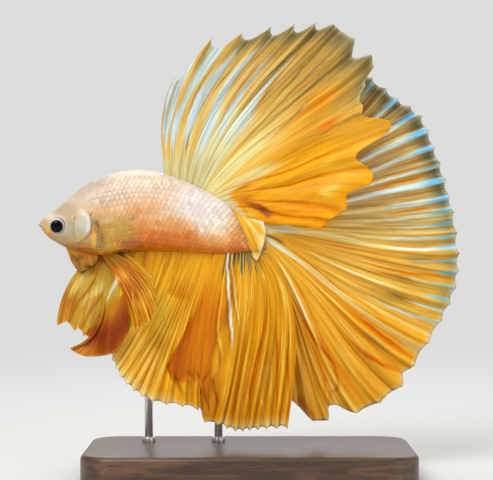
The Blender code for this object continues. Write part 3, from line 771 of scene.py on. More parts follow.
def make_scales(settings):
    """Overlapping scales in rows that run with the body, left and right, each a small closed shell."""
    start_fresh()
    bpy.ops.mesh.primitive_grid_add(x_subdivisions=5, y_subdivisions=7, size=1)
    seed = bpy.context.object
    co = np.array([v.co[:] for v in seed.data.vertices])
    a, b = co[:, 0] + 0.5, co[:, 1] * 2
    a = a**0.8
    half = 0.9 * (1 - np.clip((a - 0.4) / 0.6, 0, 1) ** 2.0) ** 0.5 * blend(0.8, 1.0, rise(a / 0.4)) + 0.04
    a = a - 0.1 * b * b * rise((a - 0.4) / 0.6)
    lift = blend(-0.35, 1.0, rise(a / 0.85)) - 0.5 * b * b * rise(a / 0.5)
    set_places(seed, np.stack([a, b * half, lift * 0.1], -1))
    apply_modifier(seed, "SOLIDIFY", thickness=0.05, offset=-1.0)
    count = len(seed.data.vertices)
    local = np.array([v.co[:] for v in seed.data.vertices])
    faces = [tuple(p.vertices) for p in seed.data.polygons]
    bpy.data.objects.remove(seed)

    first_x, stops, steps = 4.0, 160, 241
    turns = np.linspace(-math.pi / 2, math.pi / 2, steps)
    stations = np.linspace(first_x, BODY_LENGTH, stops)
    ring = body_point(
        stations[:, None] + 0 * turns, turns + 0 * stations[:, None], np.full((stops, steps), 1.0)
    )
    lengths = np.cumsum(np.linalg.norm(np.diff(ring, axis=1), axis=2), 1)
    arc = np.concatenate([np.zeros((stops, 1)), lengths], 1)
    middle = steps // 2
    arc -= arc[:, middle : middle + 1]

    def turn_at(x, s):
        """The turn at which a scale sits that lies s along the surface from mid flank, at x."""
        k = np.clip((x - first_x) / (BODY_LENGTH - first_x) * (stops - 1), 0, stops - 1.001)
        low = k.astype(int)
        both = [
            np.array([np.interp(v, arc[m], turns) for v, m in zip(s, low + step)]) for step in (0, 1)
        ]
        return blend(both[0], both[1], k - low)

    rng = np.random.default_rng(7)
    pitch, width = settings.scale_pitch / MM, settings.scale_row / MM
    roots = []
    lowest_row, highest_row, row_start = -11, 14, 5.0
    for row in range(lowest_row, highest_row + 1):
        columns = int((BODY_LENGTH - row_start) / pitch)
        x = row_start + (np.arange(columns) + 0.5 * (row % 2)) * pitch
        narrow = blend(1.0, 0.62, rise((x - 24) / 18))
        roots.append(np.stack([x, (row + 0.5) * width * narrow + 0.12 * (x - 24) / 18, narrow], -1))
    roots = np.concatenate(roots)
    low = np.array([np.interp(x, stations, arc[:, 0]) for x in roots[:, 0]])
    high = np.array([np.interp(x, stations, arc[:, -1]) for x in roots[:, 0]])
    roots = roots[(roots[:, 1] > low + 0.25) & (roots[:, 1] < high - 0.15)]
    at = body_point(roots[:, 0], turn_at(roots[:, 0], roots[:, 1]), np.ones(len(roots)))
    base = np.hypot((at[:, 0] - 10.9) / 1.25, (at[:, 2] + 3.15) / 1.95)
    keep = (at[:, 0] > scales_start(at[:, 2])) & (at[:, 0] < 42.0) & (base > 1.0)
    roots, at = roots[keep], at[keep]
    flat = blend(1.0, 0.3, rise((np.abs(turn_at(roots[:, 0], roots[:, 1])) - 0.65) / 0.5))

    material = scale_material()
    for side, name in ((-1.0, "left"), (1.0, "right")):
        size = roots[:, 2] * rng.normal(1.0, 0.03, len(roots))
        rise_by = rng.uniform(0.75, 1.2, len(roots))
        vx = roots[:, :1] + (local[:, 0] - 0.3) * 1.55 * pitch * size[:, None]
        vs = roots[:, 1:2] + local[:, 1] * 0.72 * width * roots[:, 2:3]
        vh = local[:, 2] * rise_by[:, None] * blend(0.4, 1.0, rise((roots[:, :1] - 9) / 7)) * flat[:, None]
        vx = np.clip(vx, 4.1, BODY_LENGTH - 0.05)
        x, s, h = vx.ravel(), vs.ravel(), vh.ravel()
        turn = turn_at(x, s)
        sides = np.full(len(x), side)
        normal = body_normal(x, turn, sides)
        sunk = blend(0.03, 0.05, rise((x - 8) / 6))
        points = body_point(x, turn, sides) + normal * (h - sunk)[:, None]
        mesh = bpy.data.meshes.new("scales_" + name)
        made = len(roots)
        sizes = np.tile([len(f) for f in faces], made)
        corner = np.concatenate([np.array(f) for f in faces])
        corners = (corner + np.arange(made)[:, None] * count).ravel()
        mesh.vertices.add(len(points))
        mesh.vertices.foreach_set("co", in_frame(points).astype(np.float32).ravel())
        mesh.loops.add(len(corners))
        mesh.loops.foreach_set("vertex_index", corners.astype(np.int32))
        mesh.polygons.add(len(sizes))
        mesh.polygons.foreach_set("loop_start", np.concatenate([[0], np.cumsum(sizes)[:-1]]).astype(np.int32))
        mesh.update(calc_edges=True)
        patch = np.stack([np.tile(local[:, 0] - 0.5, made), np.tile(local[:, 1], made) * 0.5], -1)
        patch *= PATCH_SIZE
        root_uv = skin_unwrap(roots[:, 0], turn_at(roots[:, 0], roots[:, 1]))
        uv = (np.repeat(root_uv, count, 0) + patch)[corners]
        mesh.uv_layers.new(name="OFBake").data.foreach_set("uv", uv.astype(np.float32).ravel())
        obj = bpy.data.objects.new("scales_" + name, mesh)
        bpy.context.scene.collection.objects.link(obj)
        colour = lay(scale_paint(at, local, rng, made), SPECK_BLACK, 0.9 * specks(x, points[:, 2]))
        paint_attribute(obj, "paint", colour)
        smooth(obj, 50)
        weld(obj, 1e-9)
        settle(obj, material)


def skin_unwrap(x, turn):
    """Where a point of one side lies on the flat unwrap of the skin, 0 to 1."""
    return np.stack([0.02 + 0.96 * x / BODY_LENGTH, 0.5 + turn / math.pi * 0.94], -1)


def scale_paint(at, local, rng, made):
    """Each scale takes the markings at its root; pearly middles on the upper flank, pale edges below."""
    x, z = at[:, 0], at[:, 2]
    base = body_colour(x + 0.3, z)
    shade = rng.normal(1.0, 0.035, made)[:, None]
    a, b = local[:, 0], np.abs(local[:, 1])
    back, belly, _ = along(BODY, x)
    share = (z - belly) / (back - belly)
    upper = rise((share - 0.42) / 0.2) * rise((0.97 - share) / 0.1) * rise((x - 11.5) / 3)
    rear = rise((x - 22) / 8)
    streaky = 0.6 + 0.4 * np.sin(x * 2.1 + 0.8 * np.sin(z * 1.7)) * np.sin(z * 1.3 + 2)
    pearl = upper * blend(0.7, 0.5, rear) * streaky * rng.uniform(0.35, 1.0, made)
    middle = rise((a - 0.42) / 0.25) * rise((0.99 - a) / 0.12) * rise((0.85 - b) / 0.4)
    gap = upper * (1 - rear) * rng.uniform(0.25, 0.6, made)
    lower = (1 - rise((share - 0.5) / 0.1)) * rng.choice([0.0, 0.25, 0.6], made, p=[0.6, 0.28, 0.12])
    tip = rise((a - 0.8) / 0.15)
    colour = np.repeat((base * shade)[:, None, :], len(a), 1)
    colour = blend(colour, np.array((0.88, 0.64, 0.42)), (gap[:, None] * (1 - middle))[..., None])
    colour = blend(colour, np.array((0.96, 0.92, 0.94)), (pearl[:, None] * middle)[..., None])
    colour = blend(colour, np.array((0.93, 0.74, 0.46)), (lower[:, None] * tip)[..., None])
    return colour.reshape(-1, 3)


def make_eyes(settings):
    """Both eyeballs: a flattened globe with a low dome over the pupil and a groove round it."""
    material = eye_material(settings)
    for side, name in ((-1, "left"), (1, "right")):
        start_fresh()
        bpy.ops.mesh.primitive_uv_sphere_add(segments=96, ring_count=64, radius=1)
        obj = bpy.context.object
        obj.name = obj.data.name = "eyeball_" + name
        co = np.array([v.co[:] for v in obj.data.vertices])
        globe = np.stack([co[:, 0], co[:, 2], co[:, 1]], -1)
        off_x, off_z = (PUPIL_AT[0] - EYE[0]) / EYE_RADII[0], (PUPIL_AT[1] - EYE[1]) / EYE_RADII[2]
        r = np.hypot(globe[:, 0] - off_x, globe[:, 2] - off_z)
        dome = 0.08 * (1 - rise((r * EYE_RADII[0] - settings.pupil / MM * 0.75) / 0.45))
        groove = -0.035 * bump(r * EYE_RADII[0] - settings.pupil / MM - 0.42, 0.09)
        through = globe[:, 1] * EYE_RADII[1] + np.sign(globe[:, 1]) * (dome + groove)
        points = np.stack([globe[:, 0] * EYE_RADII[0], through, globe[:, 2] * EYE_RADII[2]], -1)
        points += np.array([EYE[0], side * EYE_OUT, EYE[1]])
        set_places(obj, in_frame(points))
        weld(obj, 1e-9)
        smooth(obj)
        settle(obj, material, ("eye_" + name,))


# ---------------------------------------------------------------- fins


def margin_cut(ray, teeth, notches, rounded):
    """How far short of the smooth margin a fin ends at a ray number."""
    behind = ray - np.floor(ray)
    depth = along(teeth, np.floor(ray))[0]
    cut = depth * (1 - behind**2) * rise(behind / 0.08)
    cut = blend(cut, depth * np.abs(np.sin(math.pi * behind)) ** 0.75, rounded)
    for centre, size, half in notches:
        cut = cut + size * rise(1 - np.abs(ray - centre) / half)
    return cut


def fold_wave(ray):
    """Pleats of a fan: a sharp ridge at each ray, -1, and a broad valley behind it, 1."""
    return np.interp(ray - np.floor(ray), (0, 0.04, 0.4, 0.62, 1), (-0.9, -1, 0.85, 1, -0.9))


def ruffle(ray, v, seed, slow=1.3, quick=6.0, waves=16):
    """Uneven lines that run with the rays, about -1 to 1 in height."""
    rng = np.random.default_rng(seed)
    total = np.zeros_like(ray)
    for count in np.geomspace(slow, quick, waves):
        start, drift = rng.uniform(0, math.tau), rng.normal(0, 1.6)
        swell, pace = rng.uniform(0, math.tau), rng.uniform(1, 3)
        size = count**-0.45 * (1 + 0.5 * np.sin(swell + pace * v * 3 + 0.6 * ray))
        total += size * np.sin(math.tau * count * ray + start + drift * v * (1.5 - v))
    return total / (2.2 * total.std())


def shade_lines(colour, lines, strength):
    """Painted highlight along the ridges and painted shade in the creases between them."""
    light = colour + (1 - colour) * np.array((0.45, 0.43, 0.22))
    crease_shade = colour * np.array((0.86, 0.72, 0.42))
    for paint, height in ((light, lines), (crease_shade, -lines)):
        amount = strength * (0.45 * np.maximum(height, 0) + 0.75 * rise((height - 0.45) / 0.3))
        colour = blend(colour, paint, np.clip(amount, 0, 1)[:, None])
    return colour


UNWRAP_SIZE, UNWRAP_CORNER = (0.49, 0.98), (0.005, 0.01)  # of one side of a fin, in one half of its map


def make_fin(name, replaces, rays, root, table, lean, pleat, teeth, notches, paint, material, slot, **extra):
    """A pleated membrane on its rays. root(share) gives a ray's first (x, z); lean(ray, v, x, z) its y."""
    columns, rows = extra.get("columns", rays * 18), extra.get("rows", 96)
    obj, across, v = add_grid(name, columns, rows)
    ray = across * rays
    share, tip_x, tip_z, leave, arrive = along(table, ray)
    start_x, start_z = root(share)
    length = np.hypot(tip_x - start_x, tip_z - start_z)
    cut = margin_cut(ray, teeth, notches, extra.get("rounded", 0.0))
    s = v * (1 - cut / length)
    pull = 0.36 * length
    leave, arrive = np.radians(leave), np.radians(arrive)
    chain = []
    for p0, p1, p2, p3 in (
        (start_x, start_x + pull * np.cos(leave), tip_x - pull * np.cos(arrive), tip_x),
        (start_z, start_z + pull * np.sin(leave), tip_z - pull * np.sin(arrive), tip_z),
    ):
        chain.append(p0 * (1 - s) ** 3 + p1 * 3 * s * (1 - s) ** 2 + p2 * 3 * s * s * (1 - s) + p3 * s**3)
    x, z = chain
    grow = rise(v * 1.1) * length / 30
    calm = extra["calm"](ray, v) if "calm" in extra else 0.0
    lines = ruffle(ray, v, extra.get("seed", 1), quick=extra.get("quick", 6.0)) * (1 - 0.7 * calm)
    y = lean(ray, v, x, z) + fold_wave(ray) * pleat * grow * 0.9 * (1 - 0.8 * calm)
    y = y - lines * extra.get("crease", 0.13) * rise(v * 4) * (0.35 + 0.65 * grow)
    edge = rise((v - 0.82) / 0.18)
    y = y + edge * ripple((ray * 9.1 + 3 * v, 0.10), (ray * 15.7 + 1.3, 0.07)) * pleat
    if "relief" in extra:
        y = y + extra["relief"](ray, v)
    # the pleat lines paint a highlight on the ridges and shade in the creases
    colour = shade_lines(paint(ray, v), lines, extra.get("contrast", 0.6) * rise(v / 0.12))
    set_places(obj, in_frame(np.stack([x, y, z], -1)))
    paint_attribute(obj, "paint", colour)
    paint_attribute(obj, "ray", ray)
    paint_attribute(obj, "along", v)
    if "alpha" in extra:
        paint_attribute(obj, "alpha", extra["alpha"](ray, v))
    layer = obj.data.uv_layers["OFBake"].data
    uv = np.empty(len(layer) * 2, np.float32)
    layer.foreach_get("uv", uv)
    uv = uv.reshape(-1, 2)
    layer.foreach_set("uv", (uv * UNWRAP_SIZE + UNWRAP_CORNER).astype(np.float32).ravel())
    apply_modifier(obj, "SOLIDIFY", thickness=extra.get("thick", 0.16) * MM, offset=0.0)
    second_half(obj)
    smooth(obj)
    settle(obj, material, replaces)
    return obj


def second_half(obj):
    """Moves the back faces of a thickened sheet to the other half of its UV map."""
    mesh = obj.data
    faces = len(mesh.polygons)
    totals = np.empty(faces, np.int32)
    mesh.polygons.foreach_get("loop_total", totals)
    starts = np.empty(faces, np.int32)
    mesh.polygons.foreach_get("loop_start", starts)
    verts = np.empty(len(mesh.loops), np.int32)
    mesh.loops.foreach_get("vertex_index", verts)
    half = len(mesh.vertices) // 2
    back = np.add.reduceat((verts >= half).astype(int), starts) == totals
    layer = mesh.uv_layers["OFBake"].data
    uv = np.empty(len(mesh.loops) * 2, np.float32)
    layer.foreach_get("uv", uv)
    uv = uv.reshape(-1, 2)
    uv[np.repeat(back, totals), 0] += 0.5
    layer.foreach_set("uv", uv.ravel())


def wander(ray, v):
    """Small sideways wiggles, so that no marking has a ruled edge."""
    broad = 0.014 * np.sin(17 * v + 1.7 * ray)
    return ray + broad + 0.012 * np.sin(43 * v - 3 * ray + 1) + 0.010 * np.sin(101 * v + 5 * ray)


def ribbon(ray, v, points, soft=0.14):
    """A marking that runs along a fin, through points (share of the length, ray, half width, strength)."""
    at, centre, half, strength = np.array(points).T
    gap = np.abs(ray - np.interp(v, at, centre)) - np.interp(v, at, half)
    return np.interp(v, at, strength, left=0, right=0 if strength[-1] == 0 else None) * rise(0.5 - gap / soft)


def lay_ribbons(colour, ray, v, ribbons, paint, soft=0.14):
    for points in ribbons:
        colour = lay(colour, paint, ribbon(ray, v, points, soft))
    return colour


def patch(ray, v, centre, reach):
    """A soft round area in ray number and share of the length."""
    return bump(np.hypot((ray - centre[0]) / reach[0], (v - centre[1]) / reach[1]), 1.0)


def lay_patches(colour, ray, v, patches):
    for middle, at, reach_across, reach_along, strength, paint in patches:
        colour = lay(colour, paint, strength * patch(ray, v, (middle, at), (reach_across, reach_along)))
    return colour


def folds_between(ray, v, creases):
    """Rounded folds that swell between crease lines, 0 at a crease and 1 between two."""
    places = [along(path, v)[0] for path in creases]
    count = sum(np.clip((ray - low) / (high - low), 0, 1) for low, high in zip(places, places[1:]))
    return np.abs(np.sin(math.pi * count)) ** 0.7


# Paints of the fins
ICE, CREAM, YOLK = (0.77, 0.85, 0.86), (0.93, 0.88, 0.62), (0.97, 0.74, 0.22)
AMBER, RUST = (0.88, 0.50, 0.01), (0.74, 0.33, 0.0)
SMOKE, SHADE = (0.44, 0.40, 0.28), (0.46, 0.35, 0.15)

DORSAL_ICE = (
    (
        (0.24, 0.42, 0.14, 0), (0.38, 0.44, 0.24, 0.9), (0.5, 0.42, 0.32, 1), (0.6, 0.42, 0.38, 1),
        (1, 0.42, 0.42, 1)
    ),
    (
        (0.14, 1.2, 0.2, 0), (0.25, 1.15, 0.24, 0.8), (0.35, 1.1, 0.28, 1), (0.45, 1.2, 0.18, 1),
        (0.6, 1.34, 0.13, 1), (0.75, 1.44, 0.18, 1), (0.92, 1.5, 0.26, 1)
    ),
    (
        (0.14, 2.3, 0.14, 0), (0.28, 2.22, 0.24, 0.9), (0.45, 2.12, 0.3, 1), (0.6, 2.12, 0.3, 1),
        (0.75, 2.25, 0.19, 1), (0.97, 2.4, 0.06, 0.6)
    ),
    (
        (0.08, 4.0, 0.4, 0), (0.25, 3.8, 0.42, 0.9), (0.4, 3.5, 0.34, 1), (0.55, 3.25, 0.27, 1),
        (0.7, 3.12, 0.18, 1), (0.85, 3.2, 0.09, 0.9), (0.97, 3.3, 0.02, 0.5)
    ),
    (
        (0.18, 5.0, 0.2, 0), (0.33, 4.88, 0.22, 0.9), (0.45, 4.62, 0.21, 1), (0.6, 4.36, 0.15, 1),
        (0.75, 4.26, 0.09, 1), (0.9, 4.28, 0.03, 0)
    ),
    (
        (0.22, 6.1, 0.4, 0), (0.35, 6.0, 0.38, 0.8), (0.5, 5.78, 0.22, 1), (0.65, 5.6, 0.14, 1),
        (0.8, 5.5, 0.06, 1), (0.92, 5.45, 0.02, 0)
    ),
)
DORSAL_CREAM = (
    ((0.0, 1.6, 2.2, 0.6), (0.1, 1.6, 2.0, 0.5), (0.16, 1.6, 1.8, 0)),
    ((0.0, 4.0, 1.0, 0.9), (0.12, 4.1, 0.6, 0.9), (0.24, 4.0, 0.4, 0)),
    ((0.0, 6.3, 0.9, 0.9), (0.2, 6.3, 0.5, 1), (0.33, 6.3, 0.35, 0.8), (0.45, 6.2, 0.15, 0)),
    ((0.0, 8.6, 1.0, 0.9), (0.2, 8.6, 0.8, 1), (0.35, 8.45, 0.7, 0.9), (0.5, 8.2, 0.4, 0)),
    ((0.0, 11.0, 1.2, 0.8), (0.15, 11.3, 0.8, 0.9), (0.3, 11.6, 0.6, 0.8), (0.45, 11.9, 0.4, 0)),
)
DORSAL_LINES = (
    ((0.1, 0.2, 0.03, 0), (0.3, 0.06, 0.03, 0.6), (1, 0.04, 0.03, 0.5)),
    ((0.3, 1.78, 0.02, 0), (0.6, 1.75, 0.05, 0.55), (0.75, 1.8, 0.05, 0.6), (0.9, 1.9, 0.02, 0)),
    ((0.14, 2.45, 0.05, 0), (0.22, 2.4, 0.08, 0.7), (0.3, 2.3, 0.05, 0.5), (0.4, 2.35, 0.02, 0)),
    ((0.55, 2.6, 0.03, 0), (0.7, 2.72, 0.07, 0.7), (0.9, 2.85, 0.04, 0.3)),
    ((0.3, 4.55, 0.02, 0), (0.45, 4.25, 0.03, 0.5), (0.6, 4.0, 0.04, 0.5), (0.8, 3.95, 0.03, 0.3)),
    ((0.35, 5.3, 0.03, 0), (0.6, 5.1, 0.04, 0.5), (0.75, 5.22, 0.08, 0.75), (0.9, 5.25, 0.05, 0.4)),
    ((0.4, 6.3, 0.02, 0), (0.6, 5.95, 0.04, 0.6), (0.85, 5.7, 0.05, 0.6), (0.95, 5.7, 0.04, 0.3)),
    ((0.3, 6.95, 0.02, 0), (0.5, 6.7, 0.03, 0.6), (0.75, 6.42, 0.05, 0.75), (0.95, 6.35, 0.04, 0.6)),
    ((0.2, 7.4, 0.02, 0), (0.4, 7.15, 0.03, 0.6), (0.7, 6.85, 0.05, 0.7), (0.95, 6.8, 0.04, 0.6)),
    ((0.2, 7.75, 0.02, 0), (0.45, 7.5, 0.03, 0.6), (0.75, 7.3, 0.06, 0.75), (0.95, 7.3, 0.05, 0.6)),
    ((0.35, 9.1, 0.02, 0), (0.48, 8.4, 0.05, 0.6), (0.6, 7.95, 0.06, 0.6), (0.72, 7.75, 0.03, 0)),
    ((0.5, 11.0, 0.03, 0), (0.75, 11.4, 0.05, 0.4), (0.95, 11.3, 0.08, 0.5)),
)
DORSAL_PATCHES = (
    (8.5, 0.7, 0.9, 0.08, 0.8, (0.92, 0.56, 0.05)), (10.0, 0.7, 0.9, 0.10, 0.7, (0.76, 0.54, 0.12)),
    (10.6, 0.83, 0.7, 0.10, 0.6, (0.92, 0.74, 0.24)), (11.15, 0.79, 0.22, 0.07, 0.9, (0.93, 0.42, 0.01)),
    (9.7, 0.3, 0.5, 0.16, 0.6, (0.87, 0.67, 0.22)), (10.4, 0.3, 0.4, 0.12, 0.6, (0.95, 0.74, 0.34)),
    (9.6, 0.86, 0.8, 0.08, 0.75, (0.68, 0.50, 0.16)), (13.1, 0.8, 0.4, 0.05, 0.6, YOLK),
    (12.4, 0.92, 0.35, 0.12, 0.7, YOLK), (13.7, 0.88, 0.2, 0.14, 0.7, YOLK),
    (14.4, 0.82, 0.35, 0.08, 0.8, (0.90, 0.80, 0.44)), (6.8, 0.74, 0.8, 0.14, 0.6, (0.70, 0.56, 0.25)),
    (14.0, 0.13, 0.6, 0.05, 0.8, RUST), (15.3, 0.12, 0.7, 0.06, 0.6, (0.95, 0.80, 0.40)),
    (12.2, 0.15, 0.5, 0.06, 0.5, RUST), (14.3, 0.5, 0.4, 0.3, 0.4, YOLK), (13.2, 0.45, 0.3, 0.25, 0.4, YOLK),
    (7.7, 0.45, 0.6, 0.14, 0.7, (0.90, 0.80, 0.46)), (9.5, 0.44, 0.9, 0.12, 0.45, (0.92, 0.79, 0.44)),
)
DORSAL_CREASES = (
    ((0, 9.0), (0.4, 9.5), (0.7, 10.3), (1, 10.8)),
    ((0, 10.8), (0.2, 12.1), (0.45, 12.65), (0.8, 12.5), (1, 12.3)),
    ((0, 12.0), (0.2, 13.0), (0.4, 13.75), (0.6, 13.7), (1, 13.5)),
    ((0, 13.3), (0.2, 14.2), (0.4, 14.65), (0.7, 15.0), (1, 15.1)),
    ((0, 14.2), (0.3, 15.15), (0.6, 15.6), (1, 15.6)), ((0, 16.1), (1, 16.1)),
)


def dorsal_calm(ray, v):
    return rise((ray - 7.6) / 1.6)


def dorsal_relief(ray, v):
    return -0.75 * folds_between(ray, v, DORSAL_CREASES) * rise((ray - 9) / 1.5) * rise(v / 0.45)


def lay_creases(colour, ray, v, creases, paint, width, strength):
    # painted shade along each crease line, and a paler yellow line beside it, a painted highlight on the
    # fold's edge
    for path in creases:
        gap = ray - along(path, v)[0]
        colour = lay(
            colour, paint, strength * bump(gap, width) * rise(v / 0.08) * (1 - 0.5 * rise((v - 0.5) / 0.3))
        )
        colour = lay(colour, YOLK, 0.6 * strength * bump(gap + 1.5 * width, width) * rise(v / 0.2))
    return colour


def paint_dorsal(ray, v):
    w = wander(ray, v)
    colour = blend(np.array((0.85, 0.72, 0.44)), np.array((0.84, 0.67, 0.30)), rise((ray - 5) / 2)[:, None])
    colour = lay(colour, (0.88, 0.63, 0.16), rise((ray - 7.5) / 1))
    colour = lay(colour, (0.91, 0.63, 0.05), rise((ray - 10.8 - 1.2 * rise((v - 0.6) / 0.3)) / 1.4))
    colour = lay(colour, (0.90, 0.58, 0.0), rise((ray - 13.5) / 1))
    colour = lay(colour, (0.72, 0.58, 0.27), 0.8 * rise((v - 0.74) / 0.12) * rise((11.6 - ray) / 1))
    colour = lay(
        colour, (0.90, 0.83, 0.50),
        0.55 * rise((0.56 - v) / 0.3) * rise((ray - 2.5) / 1.5) * rise((11.5 - ray) / 2)
    )
    colour = lay_ribbons(colour, w, v, DORSAL_CREAM, CREAM, 0.5)
    colour = lay_patches(colour, w, v, DORSAL_PATCHES)
    inner = rise((0.52 - v) / 0.16) * rise((ray - 2.9) / 0.8) * rise((7.2 - ray) / 0.7)
    colour = lay(colour, (0.88, 0.87, 0.70), 0.8 * inner)
    stripes = rise(0.3 + np.cos(math.tau * (w - 0.12 * np.sin(5 * v)) * 2.0)) * rise((8 - ray) / 1)
    colour = lay(
        colour, (0.91, 0.67, 0.26), 0.5 * stripes * (1 - 0.7 * inner) * (1 - 0.5 * rise((v - 0.5) / 0.2))
    )
    colour = lay(colour, (0.81, 0.77, 0.54), 0.85 * rise((0.24 - v) / 0.16) * rise((7.5 - ray) / 2))
    colour = lay(colour, (0.84, 0.84, 0.68), 0.85 * rise((0.085 - v) / 0.04) * rise((ray - 11.2) / 1.2))
    colour = lay_ribbons(colour, w, v, DORSAL_ICE, ICE, 0.16)
    colour = lay_ribbons(colour, w, v, DORSAL_LINES, SHADE, 0.1)
    colour = lay_creases(colour, w, v, DORSAL_CREASES[1:5], (0.80, 0.42, 0.0), 0.11, 0.7)
    # painted shadow: the dark brown wedge under the fin's fold near its root
    fold_root_shadow = (
        (0.1, 14.2, 0.2, 0), (0.17, 14.55, 0.3, 0.8), (0.24, 14.9, 0.34, 1), (0.3, 15.3, 0.25, 0.8),
        (0.38, 15.5, 0.1, 0)
    )
    colour = lay(colour, (0.56, 0.27, 0.0), ribbon(w, v, fold_root_shadow, 0.35))
    smoke = rise((v - 0.86) / 0.12) * rise((ray - 1.6) / 1) * rise((11 - ray) / 1.5)
    colour = lay(colour, SMOKE, 0.75 * smoke)
    colour = lay(
        colour, (0.50, 0.46, 0.34),
        0.6 * rise((0.2 - v) / 0.12) * bump(np.sin(math.pi * ray), 0.16) * rise((15 - ray) / 2)
    )
    return lay(colour, (0.84, 0.82, 0.74), 0.55 * rise((v - 0.982) / 0.015) * rise((12 - ray) / 2))


TAIL_ICE = (
    ((0.8, 1.15, 0.04, 0), (1, 1.15, 0.12, 0.8)),
    ((0.6, 2.95, 0.1, 0), (0.8, 2.95, 0.16, 1), (1, 2.92, 0.16, 1)),
    ((0.4, 5.1, 0.1, 0), (0.6, 4.96, 0.18, 1), (0.8, 4.9, 0.2, 1), (0.9, 4.75, 0.2, 1), (1, 4.6, 0.2, 1)),
    ((0.35, 6.05, 0.1, 0), (0.55, 6.0, 0.16, 1), (0.75, 6.02, 0.18, 1), (1, 5.92, 0.18, 1)),
    ((0.4, 7.35, 0.1, 0), (0.6, 7.22, 0.12, 1), (0.75, 7.1, 0.13, 1), (1, 7.0, 0.14, 1)),
    ((0.5, 8.2, 0.03, 0), (0.62, 8.18, 0.07, 0.9), (0.8, 8.15, 0.06, 0.9), (1, 8.08, 0.08, 0.9)),
    ((0.35, 9.1, 0.1, 0), (0.45, 9.06, 0.16, 0.9), (0.7, 9.0, 0.17, 1), (1, 8.93, 0.18, 1)),
    ((0.62, 10.2, 0.16, 0), (0.72, 10.12, 0.17, 0.9), (0.85, 10.1, 0.15, 1), (1, 10.05, 0.13, 0.9)),
    ((0.55, 11.1, 0.05, 0), (0.7, 11.05, 0.08, 0.9), (0.85, 10.95, 0.1, 1), (1, 10.8, 0.13, 1)),
    ((0.6, 11.6, 0.05, 0), (0.75, 11.58, 0.09, 0.9), (1, 11.45, 0.1, 1)),
    ((0.55, 12.2, 0.04, 0), (0.7, 12.18, 0.07, 0.8), (1, 12.08, 0.07, 0.9)),
    ((0.6, 12.8, 0.05, 0), (0.75, 12.8, 0.09, 0.9), (1, 12.62, 0.09, 1)),
    ((0.7, 13.75, 0.04, 0), (0.82, 13.6, 0.09, 0.9), (0.9, 13.5, 0.1, 0.9), (1, 13.35, 0.12, 0.9)),
    ((0.84, 14.25, 0.04, 0), (0.92, 14.2, 0.1, 0.9), (1, 14.12, 0.14, 1)),
    ((0.74, 15.0, 0.02, 0), (0.8, 15.02, 0.05, 0.8), (1, 14.98, 0.07, 0.9)),
    ((0.8, 15.85, 0.05, 0), (0.9, 15.82, 0.09, 0.9), (1, 15.8, 0.12, 0.9)),
    ((0.78, 16.5, 0.03, 0), (0.87, 16.48, 0.09, 0.9), (1, 16.45, 0.08, 0.8)),
    ((0.66, 17.22, 0.04, 0), (0.76, 17.2, 0.08, 0.9), (1, 17.12, 0.1, 1)),
    ((0.85, 18.4, 0.04, 0), (0.95, 18.45, 0.08, 0.6), (1, 18.45, 0.08, 0.6)),
)
